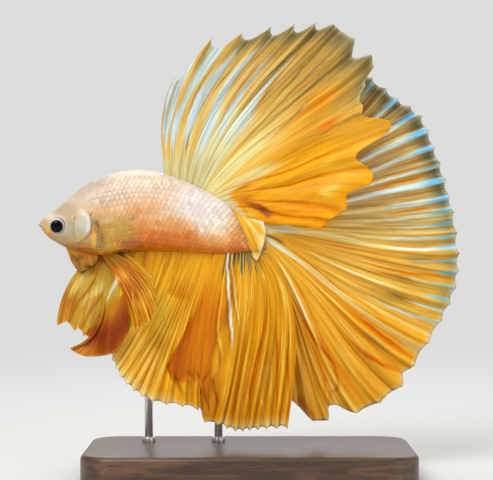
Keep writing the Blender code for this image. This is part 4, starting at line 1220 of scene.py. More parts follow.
TAIL_CREAM = (
    ((0.36, 10.3, 0.2, 0), (0.45, 10.27, 0.2, 0.8), (0.62, 10.2, 0.17, 0.9), (0.76, 10.12, 0.14, 0)),
    ((0.4, 11.2, 0.06, 0), (0.55, 11.12, 0.08, 0.8), (0.72, 11.05, 0.08, 0)),
    ((0.33, 11.5, 0.1, 0), (0.45, 11.5, 0.16, 0.8), (0.65, 11.58, 0.1, 0.9), (0.8, 11.55, 0.08, 0)),
    ((0.3, 12.05, 0.06, 0), (0.5, 12.15, 0.09, 0.7), (0.75, 12.18, 0.06, 0)),
    (
        (0.1, 12.3, 0.7, 0.2), (0.18, 12.35, 0.5, 0.9), (0.26, 12.38, 0.34, 0.9), (0.36, 12.45, 0.26, 0.9),
        (0.5, 12.68, 0.15, 1), (0.7, 12.8, 0.1, 0.9), (0.8, 12.8, 0.08, 0)
    ),
    (
        (0.34, 14.2, 0.06, 0), (0.44, 14.45, 0.06, 0.8), (0.6, 14.62, 0.05, 0.9), (0.78, 14.5, 0.04, 0.7),
        (0.9, 14.4, 0.03, 0)
    ),
    ((0.12, 14.2, 0.06, 0), (0.2, 14.4, 0.08, 0.6), (0.34, 14.6, 0.06, 0)),
    (
        (0.2, 15.6, 0.06, 0), (0.3, 15.85, 0.13, 0.9), (0.5, 15.97, 0.12, 1), (0.7, 15.92, 0.08, 0.9),
        (0.85, 15.85, 0.05, 0)
    ),
    ((0.5, 16.5, 0.04, 0), (0.6, 16.52, 0.07, 0.6), (0.7, 16.5, 0.03, 0)),
    ((0.35, 16.9, 0.04, 0), (0.5, 17.05, 0.06, 0.7), (0.65, 17.2, 0.07, 0.9), (0.8, 17.2, 0.05, 0)),
    ((0.3, 17.45, 0.05, 0), (0.5, 17.55, 0.07, 0.7), (0.7, 17.65, 0.07, 0.8), (1, 17.68, 0.09, 0.7)),
    (
        (0.08, 17.6, 0.8, 0.6), (0.2, 17.75, 0.4, 0.8), (0.35, 18.0, 0.32, 0.9), (0.5, 18.12, 0.17, 0.8),
        (0.75, 18.25, 0.1, 0.6), (1, 18.3, 0.08, 0.5)
    ),
    (
        (0.25, 19.6, 0.06, 0), (0.35, 19.65, 0.1, 0.6), (0.5, 19.75, 0.07, 0.5), (0.7, 19.85, 0.1, 0.6),
        (0.8, 19.8, 0.05, 0)
    ),
    ((0.3, 18.9, 0.05, 0), (0.45, 18.95, 0.07, 0.5), (0.6, 18.95, 0.03, 0)),
    (
        (0.1, 21.7, 0.3, 0), (0.15, 21.75, 0.25, 0.8), (0.3, 22.0, 0.22, 1), (0.45, 21.95, 0.15, 0.9),
        (0.6, 21.7, 0.06, 0)
    ),
    ((0.5, 20.9, 0.03, 0), (0.7, 20.9, 0.05, 0.5), (0.9, 21.0, 0.04, 0)),
    ((0.1, 25.35, 0.2, 0), (0.17, 25.3, 0.18, 0.8), (0.3, 25.2, 0.14, 0.9), (0.42, 25.0, 0.06, 0)),
    ((0.45, 25.5, 0.05, 0), (0.55, 25.6, 0.06, 0.7), (0.8, 25.8, 0.05, 0.5), (0.9, 25.9, 0.03, 0)),
    ((0.55, 22.8, 0.04, 0), (0.7, 22.95, 0.08, 0.6), (0.9, 22.85, 0.05, 0)),
    ((0.75, 22.1, 0.04, 0), (0.85, 22.4, 0.1, 0.6), (1, 22.7, 0.1, 0.5)),
)
TAIL_AMBER = (
    ((0.58, 8.55, 0.05, 0), (0.68, 8.58, 0.09, 0.9), (0.85, 8.5, 0.08, 0.9), (0.97, 8.4, 0.04, 0)),
    ((0.6, 10.65, 0.03, 0), (0.7, 10.65, 0.08, 0.8), (0.85, 10.5, 0.09, 0.8), (0.95, 10.4, 0.03, 0)),
    (
        (0.3, 14.1, 0.1, 0), (0.42, 14.4, 0.13, 0.6), (0.6, 14.72, 0.1, 0.8), (0.78, 14.6, 0.13, 0.9),
        (0.92, 14.5, 0.12, 0.8), (1, 14.45, 0.06, 0.4)
    ),
    ((0.55, 15.3, 0.04, 0), (0.63, 15.2, 0.07, 0.8), (0.72, 14.95, 0.07, 0.8), (0.8, 14.75, 0.04, 0)),
    ((0.6, 17.75, 0.04, 0), (0.75, 18.0, 0.06, 0.7), (0.95, 18.05, 0.05, 0.5)),
    ((0.5, 18.7, 0.08, 0), (0.6, 18.75, 0.12, 0.8), (0.8, 18.78, 0.16, 1), (1, 18.85, 0.14, 0.6)),
    ((0.35, 19.2, 0.04, 0), (0.6, 19.15, 0.08, 0.5), (0.8, 19.3, 0.05, 0.5), (1, 19.4, 0.05, 0.3)),
    ((0.6, 20.1, 0.05, 0), (0.7, 20.1, 0.1, 0.8), (0.82, 19.85, 0.1, 0.9), (0.95, 19.45, 0.06, 0.4)),
    ((0.4, 20.5, 0.03, 0), (0.7, 20.55, 0.06, 0.6), (0.95, 20.2, 0.05, 0.4)),
    ((0.5, 21.5, 0.06, 0), (0.65, 21.55, 0.14, 0.8), (0.8, 21.5, 0.14, 0.8), (1, 21.4, 0.06, 0.3)),
    ((0.3, 24.9, 0.06, 0), (0.45, 24.6, 0.12, 0.7), (0.65, 24.35, 0.12, 0.7), (0.8, 24.2, 0.04, 0)),
    ((0.3, 13.3, 0.1, 0), (0.4, 13.5, 0.3, 0.3), (0.5, 13.6, 0.1, 0)),
    ((0.5, 22.2, 0.05, 0), (0.7, 22.4, 0.12, 0.8), (0.9, 22.6, 0.1, 0.7), (1, 22.7, 0.08, 0.5)),
    ((0.15, 20.9, 0.1, 0), (0.3, 21.2, 0.12, 0.6), (0.45, 21.4, 0.1, 0.6), (0.6, 21.5, 0.05, 0)),
    ((0.2, 18.9, 0.1, 0), (0.35, 18.6, 0.12, 0.5), (0.5, 18.5, 0.05, 0)),
)
TAIL_RUST = (
    ((0.55, 18.55, 0.03, 0), (0.7, 18.62, 0.07, 0.8), (0.85, 18.7, 0.07, 0.8), (0.97, 18.75, 0.04, 0.4)),
    ((0.65, 20.2, 0.03, 0), (0.78, 20.0, 0.07, 0.8), (0.9, 19.7, 0.06, 0.7), (1, 19.5, 0.03, 0.3)),
    (
        (0.28, 22.9, 0.05, 0), (0.36, 22.65, 0.14, 0.8), (0.5, 22.35, 0.15, 0.95), (0.62, 21.95, 0.12, 0.8),
        (0.72, 21.6, 0.06, 0.8), (0.85, 22.1, 0.05, 0.7), (0.97, 23.0, 0.04, 0.5)
    ),
    ((0.5, 22.9, 0.04, 0), (0.65, 22.45, 0.06, 0.6), (0.85, 22.7, 0.05, 0.6), (0.97, 23.3, 0.03, 0.3)),
    (
        (0.08, 16.0, 0.15, 0), (0.16, 16.8, 0.12, 0.5), (0.3, 17.35, 0.07, 0.7), (0.45, 17.85, 0.05, 0.5),
        (0.6, 18.1, 0.03, 0)
    ),
    ((0.88, 25.2, 0.2, 0), (0.95, 25.3, 0.4, 0.6), (1, 25.3, 0.5, 0.5)),
)


def paint_tail(ray, v):
    w = wander(ray, v)
    colour = blend(
        np.array((0.81, 0.69, 0.43)), np.array((0.89, 0.70, 0.27)), rise((ray - 10.5) / 3.5)[:, None]
    )
    colour = lay(colour, (0.91, 0.66, 0.16), rise((ray - 15.5) / 3))
    colour = lay(colour, (0.92, 0.68, 0.18), rise((0.5 - v) / 0.3))
    colour = lay(colour, (0.86, 0.62, 0.14), rise((ray - 22.5) / 1))
    colour = lay(colour, (0.86, 0.60, 0.10), 0.6 * patch(ray, v, (23.6, 0.82), (0.9, 0.18)))
    colour = lay(
        colour, (0.70, 0.52, 0.24),
        0.5 * rise(0.2 + np.cos(math.tau * w * 2 + 0.5)) * rise((v - 0.45) / 0.2) * rise((11 - ray) / 2)
    )
    smoke = rise((v - 0.88) / 0.1) * rise((12.5 - ray) / 3)
    smoke += 0.6 * rise((v - 0.9) / 0.1) * rise((18 - ray) / 3)
    colour = lay(colour, SMOKE, 0.65 * smoke)
    # the pale yellow patch at ray 24.9 is painted light, laid where the anal fin's shadow falls on the tail
    colour = lay_patches(colour, w, v, (
        (13.6, 0.8, 0.3, 0.07, 0.5, SMOKE), (15.1, 0.72, 0.14, 0.08, 0.6, SMOKE),
        (16.45, 0.76, 0.2, 0.06, 0.6, SMOKE), (19.1, 0.78, 0.12, 0.08, 0.6, (0.66, 0.60, 0.42)),
        (16.9, 0.7, 0.15, 0.12, 0.4, SMOKE), (14.0, 0.4, 1.6, 0.3, 0.6, (1.0, 0.78, 0.32)),
        (7.6, 0.66, 1.8, 0.14, 0.5, (0.92, 0.80, 0.54)), (24.9, 0.62, 1.3, 0.42, 0.75, (1.0, 0.82, 0.34)),
        (23.3, 0.2, 0.8, 0.12, 0.5, YOLK), (20.4, 0.3, 0.8, 0.2, 0.4, YOLK),
    ))
    colour = lay_ribbons(colour, w, v, TAIL_AMBER, AMBER, 0.14)
    colour = lay_ribbons(colour, w, v, TAIL_CREAM, (0.96, 0.88, 0.60), 0.14)
    colour = lay_ribbons(colour, w, v, TAIL_RUST, RUST, 0.12)
    blue = (0.95 * rise((v - 0.84 - 0.012 * np.sin(ray * 9)) / 0.12) * rise((17.6 - ray) / 2))[:, None]
    hue = blend(np.array((0.86, 0.92, 0.90)), np.array((0.46, 0.76, 0.94)), blue)
    for points in TAIL_ICE:
        colour = blend(colour, hue, np.clip(ribbon(w, v, points, 0.1), 0, 1)[:, None])
    colour = lay(colour, (0.84, 0.58, 0.12), 0.7 * patch(ray, v, (14.8, 0.14), (1.6, 0.12)))
    pale = 0.05 + 0.15 * bump(ray - 12.1, 1.3) + 0.16 * bump(ray - 17.9, 0.9)
    colour = lay(colour, (0.90, 0.89, 0.76), rise((pale - v) / 0.05) * (0.8 + 0.2 * np.cos(ray * 4.4)))
    glint = ((0, 17.7, 0.3, 1), (0.1, 17.75, 0.25, 1), (0.2, 17.9, 0.15, 0.7), (0.3, 18.1, 0.1, 0))
    colour = lay(colour, (0.84, 0.91, 0.93), 0.9 * ribbon(w, v, glint, 0.2))
    colour = lay(
        colour, (0.34, 0.28, 0.14),
        0.75 * rise((0.13 - v) / 0.05) * bump(ray - 16.3 + 0.5 * np.sin(30 * v), 0.6)
    )
    # a painted highlight along the margin
    return lay(colour, (0.82, 0.82, 0.76), 0.6 * rise((v - 0.978) / 0.016))


ANAL_DRAPE = (
    (0, 9.0), (0.3, 8.7), (0.45, 8.4), (0.58, 7.9), (0.68, 7.5), (0.76, 7.2), (0.84, 8.0), (0.9, 8.7),
    (0.97, 10)
)
ANAL_AMBER = (
    ((0.18, 5.0, 2.5, 0), (0.24, 5.0, 2.3, 0.5), (0.3, 5.0, 2.4, 0.8), (0.34, 5.0, 2, 0)),
    ((0.6, 5.6, 1.0, 0), (0.67, 5.6, 1.2, 0.25), (0.73, 5.6, 1, 0)),
    ((0.6, 13.4, 0.05, 0), (0.75, 13.35, 0.12, 0.7), (0.9, 13.4, 0.14, 0.6), (1, 13.5, 0.1, 0.2)),
    (
        (0.2, 15.9, 0.1, 0), (0.35, 15.7, 0.2, 0.8), (0.55, 15.45, 0.2, 0.9), (0.75, 15.3, 0.16, 0.9),
        (0.85, 15.4, 0.08, 0.6), (0.97, 15.9, 0.08, 0.5)
    ),
    ((0.2, 14.2, 0.05, 0), (0.4, 14.1, 0.14, 0.5), (0.5, 14.0, 0.05, 0)),
    (
        (0.4, 17.5, 0.05, 0), (0.48, 17.7, 0.14, 0.8), (0.55, 18.0, 0.15, 0.9), (0.7, 18.3, 0.1, 0.8),
        (0.85, 18.7, 0.06, 0.7), (0.97, 19.2, 0.05, 0.6)
    ),
    ((0.6, 19.1, 0.05, 0), (0.66, 19.3, 0.1, 0.8), (0.75, 19.6, 0.1, 0.7), (0.85, 19.95, 0.08, 0.4)),
    ((0.5, 6.7, 0.1, 0), (0.6, 6.6, 0.2, 0.4), (0.8, 6.6, 0.1, 0)),
    ((0.74, 6.4, 0.05, 0), (0.84, 6.45, 0.12, 0.6), (1, 6.5, 0.08, 0.4)),
    ((0.74, 4.2, 0.05, 0), (0.84, 4.1, 0.12, 0.5), (1, 4.0, 0.08, 0.4)),
    ((0.74, 5.4, 0.05, 0), (0.84, 5.4, 0.1, 0.6), (1, 5.4, 0.08, 0.4)),
    ((0.55, 16.4, 0.3, 0), (0.64, 16.6, 0.5, 0.5), (0.7, 16.6, 0.3, 0)),
    ((0.45, 13.1, 0.3, 0), (0.52, 13.3, 0.8, 0.5), (0.6, 13.4, 0.5, 0.4), (0.68, 13.4, 0.2, 0)),
)
ANAL_CREAM = (
    (
        (0.08, 13.95, 0.08, 0), (0.14, 13.85, 0.1, 0.8), (0.25, 13.6, 0.1, 0.8), (0.35, 13.3, 0.08, 0.7),
        (0.43, 12.7, 0.1, 0)
    ),
    ((0.08, 12.2, 0.06, 0), (0.13, 12.1, 0.08, 0.8), (0.2, 11.85, 0.05, 0.6), (0.24, 11.8, 0.03, 0)),
    ((0.1, 13.2, 0.05, 0), (0.25, 13.0, 0.07, 0.5), (0.36, 12.7, 0.05, 0)),
    ((0.1, 15.8, 0.1, 0), (0.15, 15.8, 0.25, 0.8), (0.2, 15.8, 0.1, 0)),
    ((0.7, 7.05, 0.06, 0), (0.8, 7.0, 0.12, 0.7), (0.9, 6.9, 0.06, 0.3)),
    ((0.72, 4.9, 0.2, 0), (0.8, 4.9, 0.3, 0.7), (0.88, 4.9, 0.2, 0.3), (0.95, 4.9, 0.1, 0)),
    ((0.72, 5.95, 0.15, 0), (0.8, 5.9, 0.28, 0.7), (0.88, 5.8, 0.15, 0.3), (0.95, 5.8, 0.1, 0)),
    ((0.7, 15.9, 0.1, 0), (0.78, 16.2, 0.1, 0.5), (0.88, 17.2, 0.15, 0.6), (0.97, 18.0, 0.2, 0.3)),
    ((0.5, 17.2, 0.1, 0), (0.65, 17.6, 0.12, 0.6), (0.8, 18.0, 0.08, 0.6), (0.95, 18.6, 0.05, 0)),
    ((0.3, 18.4, 0.05, 0), (0.5, 18.5, 0.1, 0.6), (0.65, 18.8, 0.06, 0.7), (0.8, 19.3, 0.05, 0)),
    (
        (0.15, 19.2, 0.2, 0), (0.25, 19.3, 0.35, 0.7), (0.4, 19.3, 0.2, 0.5), (0.55, 19.4, 0.07, 0.8),
        (0.65, 19.5, 0.04, 0)
    ),
    ((0.6, 14.3, 0.3, 0), (0.7, 14.4, 0.35, 0.35), (0.9, 14.5, 0.3, 0.35), (1, 14.5, 0.2, 0)),
    ((0.75, 11.9, 0.06, 0), (0.83, 11.85, 0.12, 0.6), (0.9, 11.9, 0.05, 0)),
    ((0.3, 7.5, 0.2, 0), (0.42, 7.6, 0.3, 0.45), (0.55, 7.5, 0.1, 0)),
)
ANAL_RUST = (
    (
        (0.4, 8.6, 0.2, 0), (0.5, 8.5, 0.28, 0.8), (0.6, 8.25, 0.3, 0.95), (0.7, 7.9, 0.3, 0.7),
        (0.78, 7.5, 0.12, 0.9), (0.86, 8.2, 0.08, 0.8), (0.93, 8.9, 0.05, 0.5), (1, 9.5, 0.03, 0)
    ),
    ((0.77, 9, 0.4, 0), (0.82, 9.3, 0.5, 0.7), (0.86, 9.5, 0.4, 0)),
    ((0.52, 11.35, 0.05, 0), (0.62, 11.45, 0.05, 0.7), (0.7, 11.5, 0.03, 0)),
    (
        (0.3, 15.7, 0.1, 0), (0.42, 15.5, 0.12, 0.6), (0.58, 15.15, 0.1, 0.9), (0.68, 15.05, 0.08, 0.9),
        (0.8, 15.1, 0.1, 0.9), (0.88, 15.4, 0.06, 0.8), (0.97, 15.9, 0.05, 0.4)
    ),
    (
        (0.45, 17.6, 0.05, 0), (0.55, 18.0, 0.1, 0.8), (0.68, 18.3, 0.1, 0.8), (0.82, 18.7, 0.06, 0.7),
        (0.95, 19.1, 0.04, 0.4)
    ),
    ((0.58, 19.0, 0.04, 0), (0.7, 19.35, 0.08, 0.8), (0.85, 19.8, 0.06, 0.5)),
)
ANAL_HEM_SHADOW = (  # painted shadow along the edges of the hanging fold, where its lower end gathers
    (
        (0.75, 9.8, 0.06, 0), (0.8, 10.15, 0.1, 0.8), (0.86, 10.4, 0.09, 0.8), (0.92, 10.85, 0.06, 0.7),
        (0.98, 11.1, 0.03, 0.2)
    ),
    (
        (0.68, 11.2, 0.04, 0), (0.74, 10.95, 0.07, 0.8), (0.79, 10.75, 0.08, 0.9), (0.86, 11.0, 0.07, 0.8),
        (0.95, 11.35, 0.04, 0.3)
    ),
    (
        (0.71, 11.38, 0.04, 0), (0.77, 11.34, 0.07, 0.9), (0.82, 11.42, 0.06, 0.9), (0.88, 11.62, 0.06, 0.9),
        (1, 11.6, 0.05, 0.5)
    ),
    ((0.78, 8.0, 0.05, 0), (0.84, 8.3, 0.07, 0.7), (0.9, 8.8, 0.06, 0.7), (0.96, 9.4, 0.03, 0)),
)
ANAL_STREAKS = (
    (
        (
            (0, 11.1, 0.04, 0.9), (0.2, 11.42, 0.05, 1), (0.4, 11.72, 0.06, 1), (0.5, 11.85, 0.05, 0.9),
            (0.62, 11.95, 0.02, 0)
        ),
        (0.90, 0.90, 0.86)
    ),
    (
        (
            (0, 11.35, 0.03, 0.8), (0.2, 11.7, 0.04, 1), (0.33, 11.95, 0.04, 1), (0.42, 12.3, 0.03, 0.9),
            (0.46, 12.6, 0.02, 0)
        ),
        (0.96, 0.80, 0.50)
    ),
    (
        (
            (0, 11.0, 0.02, 0.8), (0.25, 11.15, 0.02, 0.9), (0.45, 11.25, 0.03, 0.9), (0.6, 11.5, 0.03, 0.8),
            (0.68, 11.6, 0.02, 0)
        ),
        (0.96, 0.76, 0.30)
    ),
)


def anal_drape(ray, v):
    """Where the front layer of the anal fin hangs over the rest."""
    behind_front = rise((ray - along(ANAL_DRAPE, v)[0]) / 0.4)
    before_rear = rise((11.5 + 0.25 * np.sin(7 * v) - ray) / 0.3)
    return behind_front * before_rear * rise((0.87 - v) / 0.04)


def anal_relief(ray, v):
    streak = sum(ribbon(ray, v, points, 0.3) for points, _ in ANAL_STREAKS[:2])
    rust = sum(ribbon(ray, v, points, 0.4) for points in ANAL_RUST[:3])
    return -0.45 * anal_drape(ray, v) - 0.5 * streak + 0.35 * rust


def paint_anal(ray, v):
    w = wander(ray, v)
    colour = blend(np.array((0.93, 0.67, 0.10)), np.array((0.86, 0.59, 0.06)), rise((ray - 7) / 4)[:, None])
    # the pale patch at ray 4.8 is painted light, laid where the near pelvic fin's shadow falls
    colour = lay_patches(colour, w, v, (
        (4.8, 0.56, 2.6, 0.1, 0.95, (1.0, 0.82, 0.26)), (3.0, 0.43, 1.6, 0.14, 0.95, (1.0, 0.84, 0.26)),
        (5.8, 0.4, 2.0, 0.07, 0.7, (0.90, 0.66, 0.16)), (5.5, 0.15, 2.4, 0.1, 0.5, (0.86, 0.60, 0.08)),
        (7.2, 0.32, 1.8, 0.16, 0.6, (0.81, 0.54, 0.05)), (16.8, 0.72, 1.0, 0.14, 0.7, (0.84, 0.68, 0.24)),
        (12.8, 0.3, 0.7, 0.14, 0.5, (0.90, 0.68, 0.20)), (1.8, 0.85, 1.6, 0.12, 0.5, (0.92, 0.78, 0.36)),
    ))
    colour = lay(colour, (0.95, 0.77, 0.30), 0.8 * rise((v - 0.58) / 0.14) * rise((7.6 - ray) / 1.4))
    colour = lay(
        colour, (0.74, 0.48, 0.03),
        0.5 * rise(0.1 + np.cos(math.tau * w * 2.6)) * rise((3.6 - ray) / 1) * rise((0.55 - v) / 0.2)
    )
    colour = lay(colour, (0.77, 0.40, 0.0), 0.92 * anal_drape(w, v) * rise((v - 0.12) / 0.3))
    colour = lay(
        colour, (0.86, 0.53, 0.02), 0.75 * anal_drape(w, v) * patch(ray, v, (10.1, 0.6), (0.6, 0.26))
    )
    colour = lay(colour, (0.68, 0.31, 0.0), 0.8 * anal_drape(w, v) * patch(ray, v, (8.0, 0.62), (0.7, 0.24)))
    colour = lay_ribbons(colour, w, v, ANAL_AMBER, (0.80, 0.48, 0.01), 0.3)
    colour = lay_ribbons(colour, w, v, ANAL_CREAM, (0.96, 0.80, 0.40), 0.16)
    colour = lay_ribbons(colour, w, v, ANAL_RUST, (0.70, 0.32, 0.0), 0.16)
    colour = lay(colour, (0.78, 0.46, 0.02), 0.6 * patch(ray, v, (10.9, 0.87), (1.1, 0.14)))
    # painted shadow along the hanging fold's edges
    colour = lay_ribbons(colour, w, v, ANAL_HEM_SHADOW, (0.60, 0.25, 0.0), 0.14)
    # a painted highlight along the lit lower edge of the hanging fold
    hem_highlight = bump(v - 0.84 - 0.012 * np.sin(4 * ray), 0.02)
    colour = lay(colour, YOLK, 0.5 * hem_highlight * rise((ray - 8.8) / 0.5) * rise((10.9 - ray) / 0.5))
    comb = rise(0.65 + 0.9 * np.cos(ray * 19 + 1.4 * np.sin(ray * 3.3)))
    near_root = rise((0.125 + 0.045 * np.cos(ray * 5.1) - v) / 0.06)
    dark = near_root * rise((ray - 10.6) / 0.5) * rise((18 - ray) / 2)
    colour = lay(colour, (0.74, 0.70, 0.52), 0.7 * dark * (1 - comb) * rise((15.4 - ray) / 0.8))
    colour = lay(colour, (0.29, 0.26, 0.18), 0.88 * dark * comb)
    colour = lay(colour, (0.66, 0.58, 0.34), 0.5 * rise((0.08 - v) / 0.05) * rise((ray - 14) / 1))
    for points, paint in ANAL_STREAKS:
        # a dark copy of each streak, laid a little to one side, is its painted shadow
        colour = lay(colour, (0.56, 0.32, 0.03), 0.6 * ribbon(w + 0.12, v, points, 0.12))
        colour = lay(colour, paint, ribbon(w, v, points, 0.08))
    beside = rise((8.8 - ray) / 0.8) + rise((ray - 11.8) / 0.4)
    colour = lay(colour, (0.95, 0.87, 0.66), 0.55 * rise((v - 0.925) / 0.06) * beside)
    return lay(colour, (0.95, 0.88, 0.72), 0.7 * rise((v - 0.98) / 0.014))


def paint_fold(ray, v):
    w = wander(ray, v)
    colour = np.broadcast_to(np.array((0.96, 0.76, 0.24)), (len(ray), 3)).copy()
    colour = lay(colour, (0.90, 0.58, 0.08), 0.8 * bump(w - 1.2, 0.3) + 0.6 * bump(w - 2.75, 0.18))
    colour = lay(colour, (0.86, 0.50, 0.04), 0.6 * bump(w - 0.3, 0.25))
    colour = lay(colour, (0.97, 0.92, 0.70), 0.7 * rise((v - 0.75) / 0.25) + 0.7 * bump(w - 2.1, 0.25))
    return lay(colour, (0.92, 0.92, 0.86), rise((ray - 3.1) / 0.5) * 0.85)


def paint_pelvic_near(ray, v):
    w = wander(ray, v)
    colour = blend(
        np.array((0.70, 0.36, 0.0)), np.array((0.77, 0.49, 0.02)),
        rise((v - 0.45 + 0.08 * (ray - 3)) / 0.3)[:, None]
    )
    colour = lay_patches(colour, w, v, (
        (1.6, 0.38, 0.8, 0.12, 0.8, (0.98, 0.66, 0.28)), (2.6, 0.45, 0.6, 0.07, 0.6, (0.92, 0.56, 0.14)),
        (3.2, 0.5, 1.2, 0.12, 0.8, (0.66, 0.32, 0.0)), (1.5, 0.76, 0.8, 0.08, 0.7, (0.90, 0.66, 0.18)),
        (3.0, 0.76, 0.7, 0.08, 0.6, (0.94, 0.62, 0.14)), (5.8, 0.78, 0.7, 0.16, 0.7, (0.90, 0.66, 0.16)),
        (4.4, 0.8, 0.5, 0.06, 0.7, (0.97, 0.70, 0.22)), (4.6, 0.54, 0.6, 0.06, 0.6, (0.88, 0.52, 0.10)),
        (5.0, 0.45, 0.7, 0.05, 0.5, (0.88, 0.56, 0.08)),
    ))
    colour = lay_ribbons(colour, w, v, (
        ((0.5, 1.9, 0.05, 0), (0.6, 1.3, 0.12, 0.7), (0.7, 0.8, 0.1, 0.8), (0.8, 0.4, 0.06, 0)),
        ((0.3, 0.2, 0.3, 0), (0.38, 0.3, 0.3, 0.9), (0.45, 0.1, 0.2, 0)),
        ((0.3, 3.0, 0.05, 0), (0.5, 2.4, 0.1, 0.4), (0.8, 2.1, 0.12, 0.5), (1, 2.0, 0.1, 0.3)),
        ((0.4, 4.4, 0.05, 0), (0.6, 3.6, 0.12, 0.5), (0.9, 3.5, 0.12, 0.5), (1, 3.5, 0.1, 0.2)),
        ((0.5, 6.2, 0.05, 0), (0.7, 5.3, 0.12, 0.5), (0.9, 5.0, 0.12, 0.5), (1, 5.0, 0.1, 0.2)),
        ((0.6, 6.9, 0.05, 0), (0.8, 6.5, 0.12, 0.6), (1, 6.4, 0.1, 0.4)),
    ), (0.98, 0.76, 0.34), 0.3)
    colour = lay_ribbons(colour, w, v, (
        ((0.5, 2.6, 0.05, 0), (0.62, 1.8, 0.1, 0.7), (0.75, 1.2, 0.08, 0.6), (0.95, 0.9, 0.1, 0.5)),
        ((0.35, 2.2, 0.05, 0), (0.45, 2.15, 0.15, 0.8), (0.55, 2.0, 0.06, 0)),
        ((0.4, 5.4, 0.05, 0), (0.55, 4.9, 0.14, 0.8), (0.68, 4.2, 0.12, 0.7), (0.8, 3.9, 0.05, 0)),
        ((0.5, 6.4, 0.05, 0), (0.65, 5.7, 0.14, 0.7), (0.85, 4.9, 0.12, 0.6), (0.97, 4.6, 0.1, 0.5)),
        ((0.6, 3.0, 0.1, 0), (0.9, 2.8, 0.2, 0.4), (1, 2.9, 0.1, 0.3)),
    ), (0.64, 0.32, 0.0), 0.3)
    colour = lay(colour, (0.55, 0.32, 0.01), 0.85 * rise((0.3 - v) / 0.14))
    colour = lay(colour, (0.12, 0.06, 0.01), 0.9 * patch(ray, v, (6.4, 0.16), (0.9, 0.12)))
    colour = lay(colour, (0.93, 0.76, 0.42), 0.6 * bump(ray - 6.85, 0.2) * rise((v - 0.3) / 0.1))
    return lay(colour, (0.97, 0.78, 0.40), 0.5 * rise((v - 0.97) / 0.025))


def paint_pelvic_far(ray, v):
    w = wander(ray, v)
    colour = np.broadcast_to(np.array((0.76, 0.60, 0.20)), (len(ray), 3)).copy()
    outer = rise((v - 0.66) / 0.15) * (0.4 + 0.6 * rise((1.6 - ray) / 1))
    inner = rise((0.34 - v) / 0.08) * rise((3.2 - ray) / 0.8)
    colour = lay(colour, (0.74, 0.46, 0.06), 0.8 * outer + 0.8 * inner)
    curl = rise((w - 3.1 - 0.4 * np.cos(9 * v)) / 0.7)
    colour = lay(colour, (0.76, 0.49, 0.03), 0.9 * curl * rise((v - 0.42) / 0.12))
    colour = lay(colour, (0.69, 0.34, 0.01), 0.9 * curl * rise((v - 0.52) / 0.2 - 0.25 * np.cos(5 * ray)))
    colour = lay(
        colour, (0.50, 0.18, 0.0), 0.9 * curl * bump(v - 0.80 + 0.05 * np.cos(1.6 * (ray - 5)), 0.13)
    )
    colour = lay(colour, (0.80, 0.70, 0.32), 0.7 * bump(v - 0.37, 0.08) * rise((w - 3.4) / 0.6))
    colour = lay_patches(colour, w, v, (
        (1.0, 0.52, 0.7, 0.12, 0.7, (0.80, 0.66, 0.32)), (2.5, 0.66, 0.5, 0.12, 0.7, (0.82, 0.62, 0.28)),
        (0.9, 0.74, 0.35, 0.12, 0.8, (0.66, 0.34, 0.01)), (0.1, 0.7, 0.3, 0.2, 0.7, (0.70, 0.40, 0.02)),
        (5.6, 0.96, 0.45, 0.05, 0.7, (0.82, 0.56, 0.14)), (6.6, 0.86, 0.4, 0.14, 0.7, (0.56, 0.22, 0.0)),
    ))
    colour = lay_ribbons(colour, w, v, (
        (
            (0.25, 2.5, 0.05, 0), (0.38, 2.4, 0.14, 0.8), (0.5, 2.05, 0.12, 0.7), (0.7, 1.5, 0.12, 0.7),
            (0.9, 1.3, 0.1, 0.5), (1, 1.2, 0.1, 0.3)
        ),
        ((0.4, 3.0, 0.05, 0), (0.6, 2.9, 0.1, 0.6), (0.75, 2.6, 0.1, 0.6), (1, 2.5, 0.1, 0.4)),
        ((0.4, 3.9, 0.03, 0), (0.6, 3.7, 0.05, 0.4), (1, 3.4, 0.06, 0.4)),
        ((0.5, 5.0, 0.02, 0), (0.7, 4.9, 0.04, 0.4), (1, 4.8, 0.05, 0.4)),
        ((0.4, 0.5, 0.03, 0), (0.6, 0.35, 0.06, 0.5), (1, 0.3, 0.08, 0.4)),
        (
            (0.3, 4.0, 0.05, 0), (0.42, 3.7, 0.12, 0.5), (0.54, 3.3, 0.14, 0.6), (0.66, 2.9, 0.12, 0.7),
            (0.8, 2.6, 0.1, 0.6), (0.95, 2.4, 0.06, 0)
        ),
        (
            (0.36, 5.2, 0.05, 0), (0.5, 4.6, 0.14, 0.4), (0.62, 4.0, 0.16, 0.6), (0.74, 3.5, 0.14, 0.6),
            (0.86, 3.2, 0.1, 0)
        ),
    ), (0.66, 0.37, 0.02), 0.2)
    colour = lay_ribbons(colour, w, v, (
        ((0.3, 1.2, 0.2, 0), (0.45, 1.1, 0.4, 0.8), (0.6, 0.7, 0.3, 0.7), (0.75, 0.6, 0.1, 0)),
        (
            (0.28, 3.4, 0.2, 0), (0.4, 3.3, 0.4, 0.9), (0.52, 2.7, 0.3, 0.8), (0.64, 2.0, 0.2, 0.7),
            (0.76, 1.7, 0.1, 0)
        ),
        ((0.42, 6.4, 0.1, 0), (0.52, 5.5, 0.1, 0.8), (0.62, 4.6, 0.1, 0.7), (0.72, 4.0, 0.08, 0)),
    ), (0.85, 0.74, 0.40), 0.25)
    flash = ribbon(
        w, v,
        (
            (0.2, 7.0, 0.1, 0.3), (0.27, 6.8, 0.3, 1), (0.35, 6.2, 0.35, 1), (0.42, 5.5, 0.25, 0.8),
            (0.46, 5.0, 0.1, 0)
        ),
        0.3
    )
    colour = lay(colour, (0.95, 0.94, 0.88), 0.95 * flash)
    colour = lay(colour, (0.58, 0.34, 0.02), 0.8 * rise((0.16 - v) / 0.08))
    return lay(colour, (0.90, 0.70, 0.36), 0.4 * rise((v - 0.975) / 0.02))


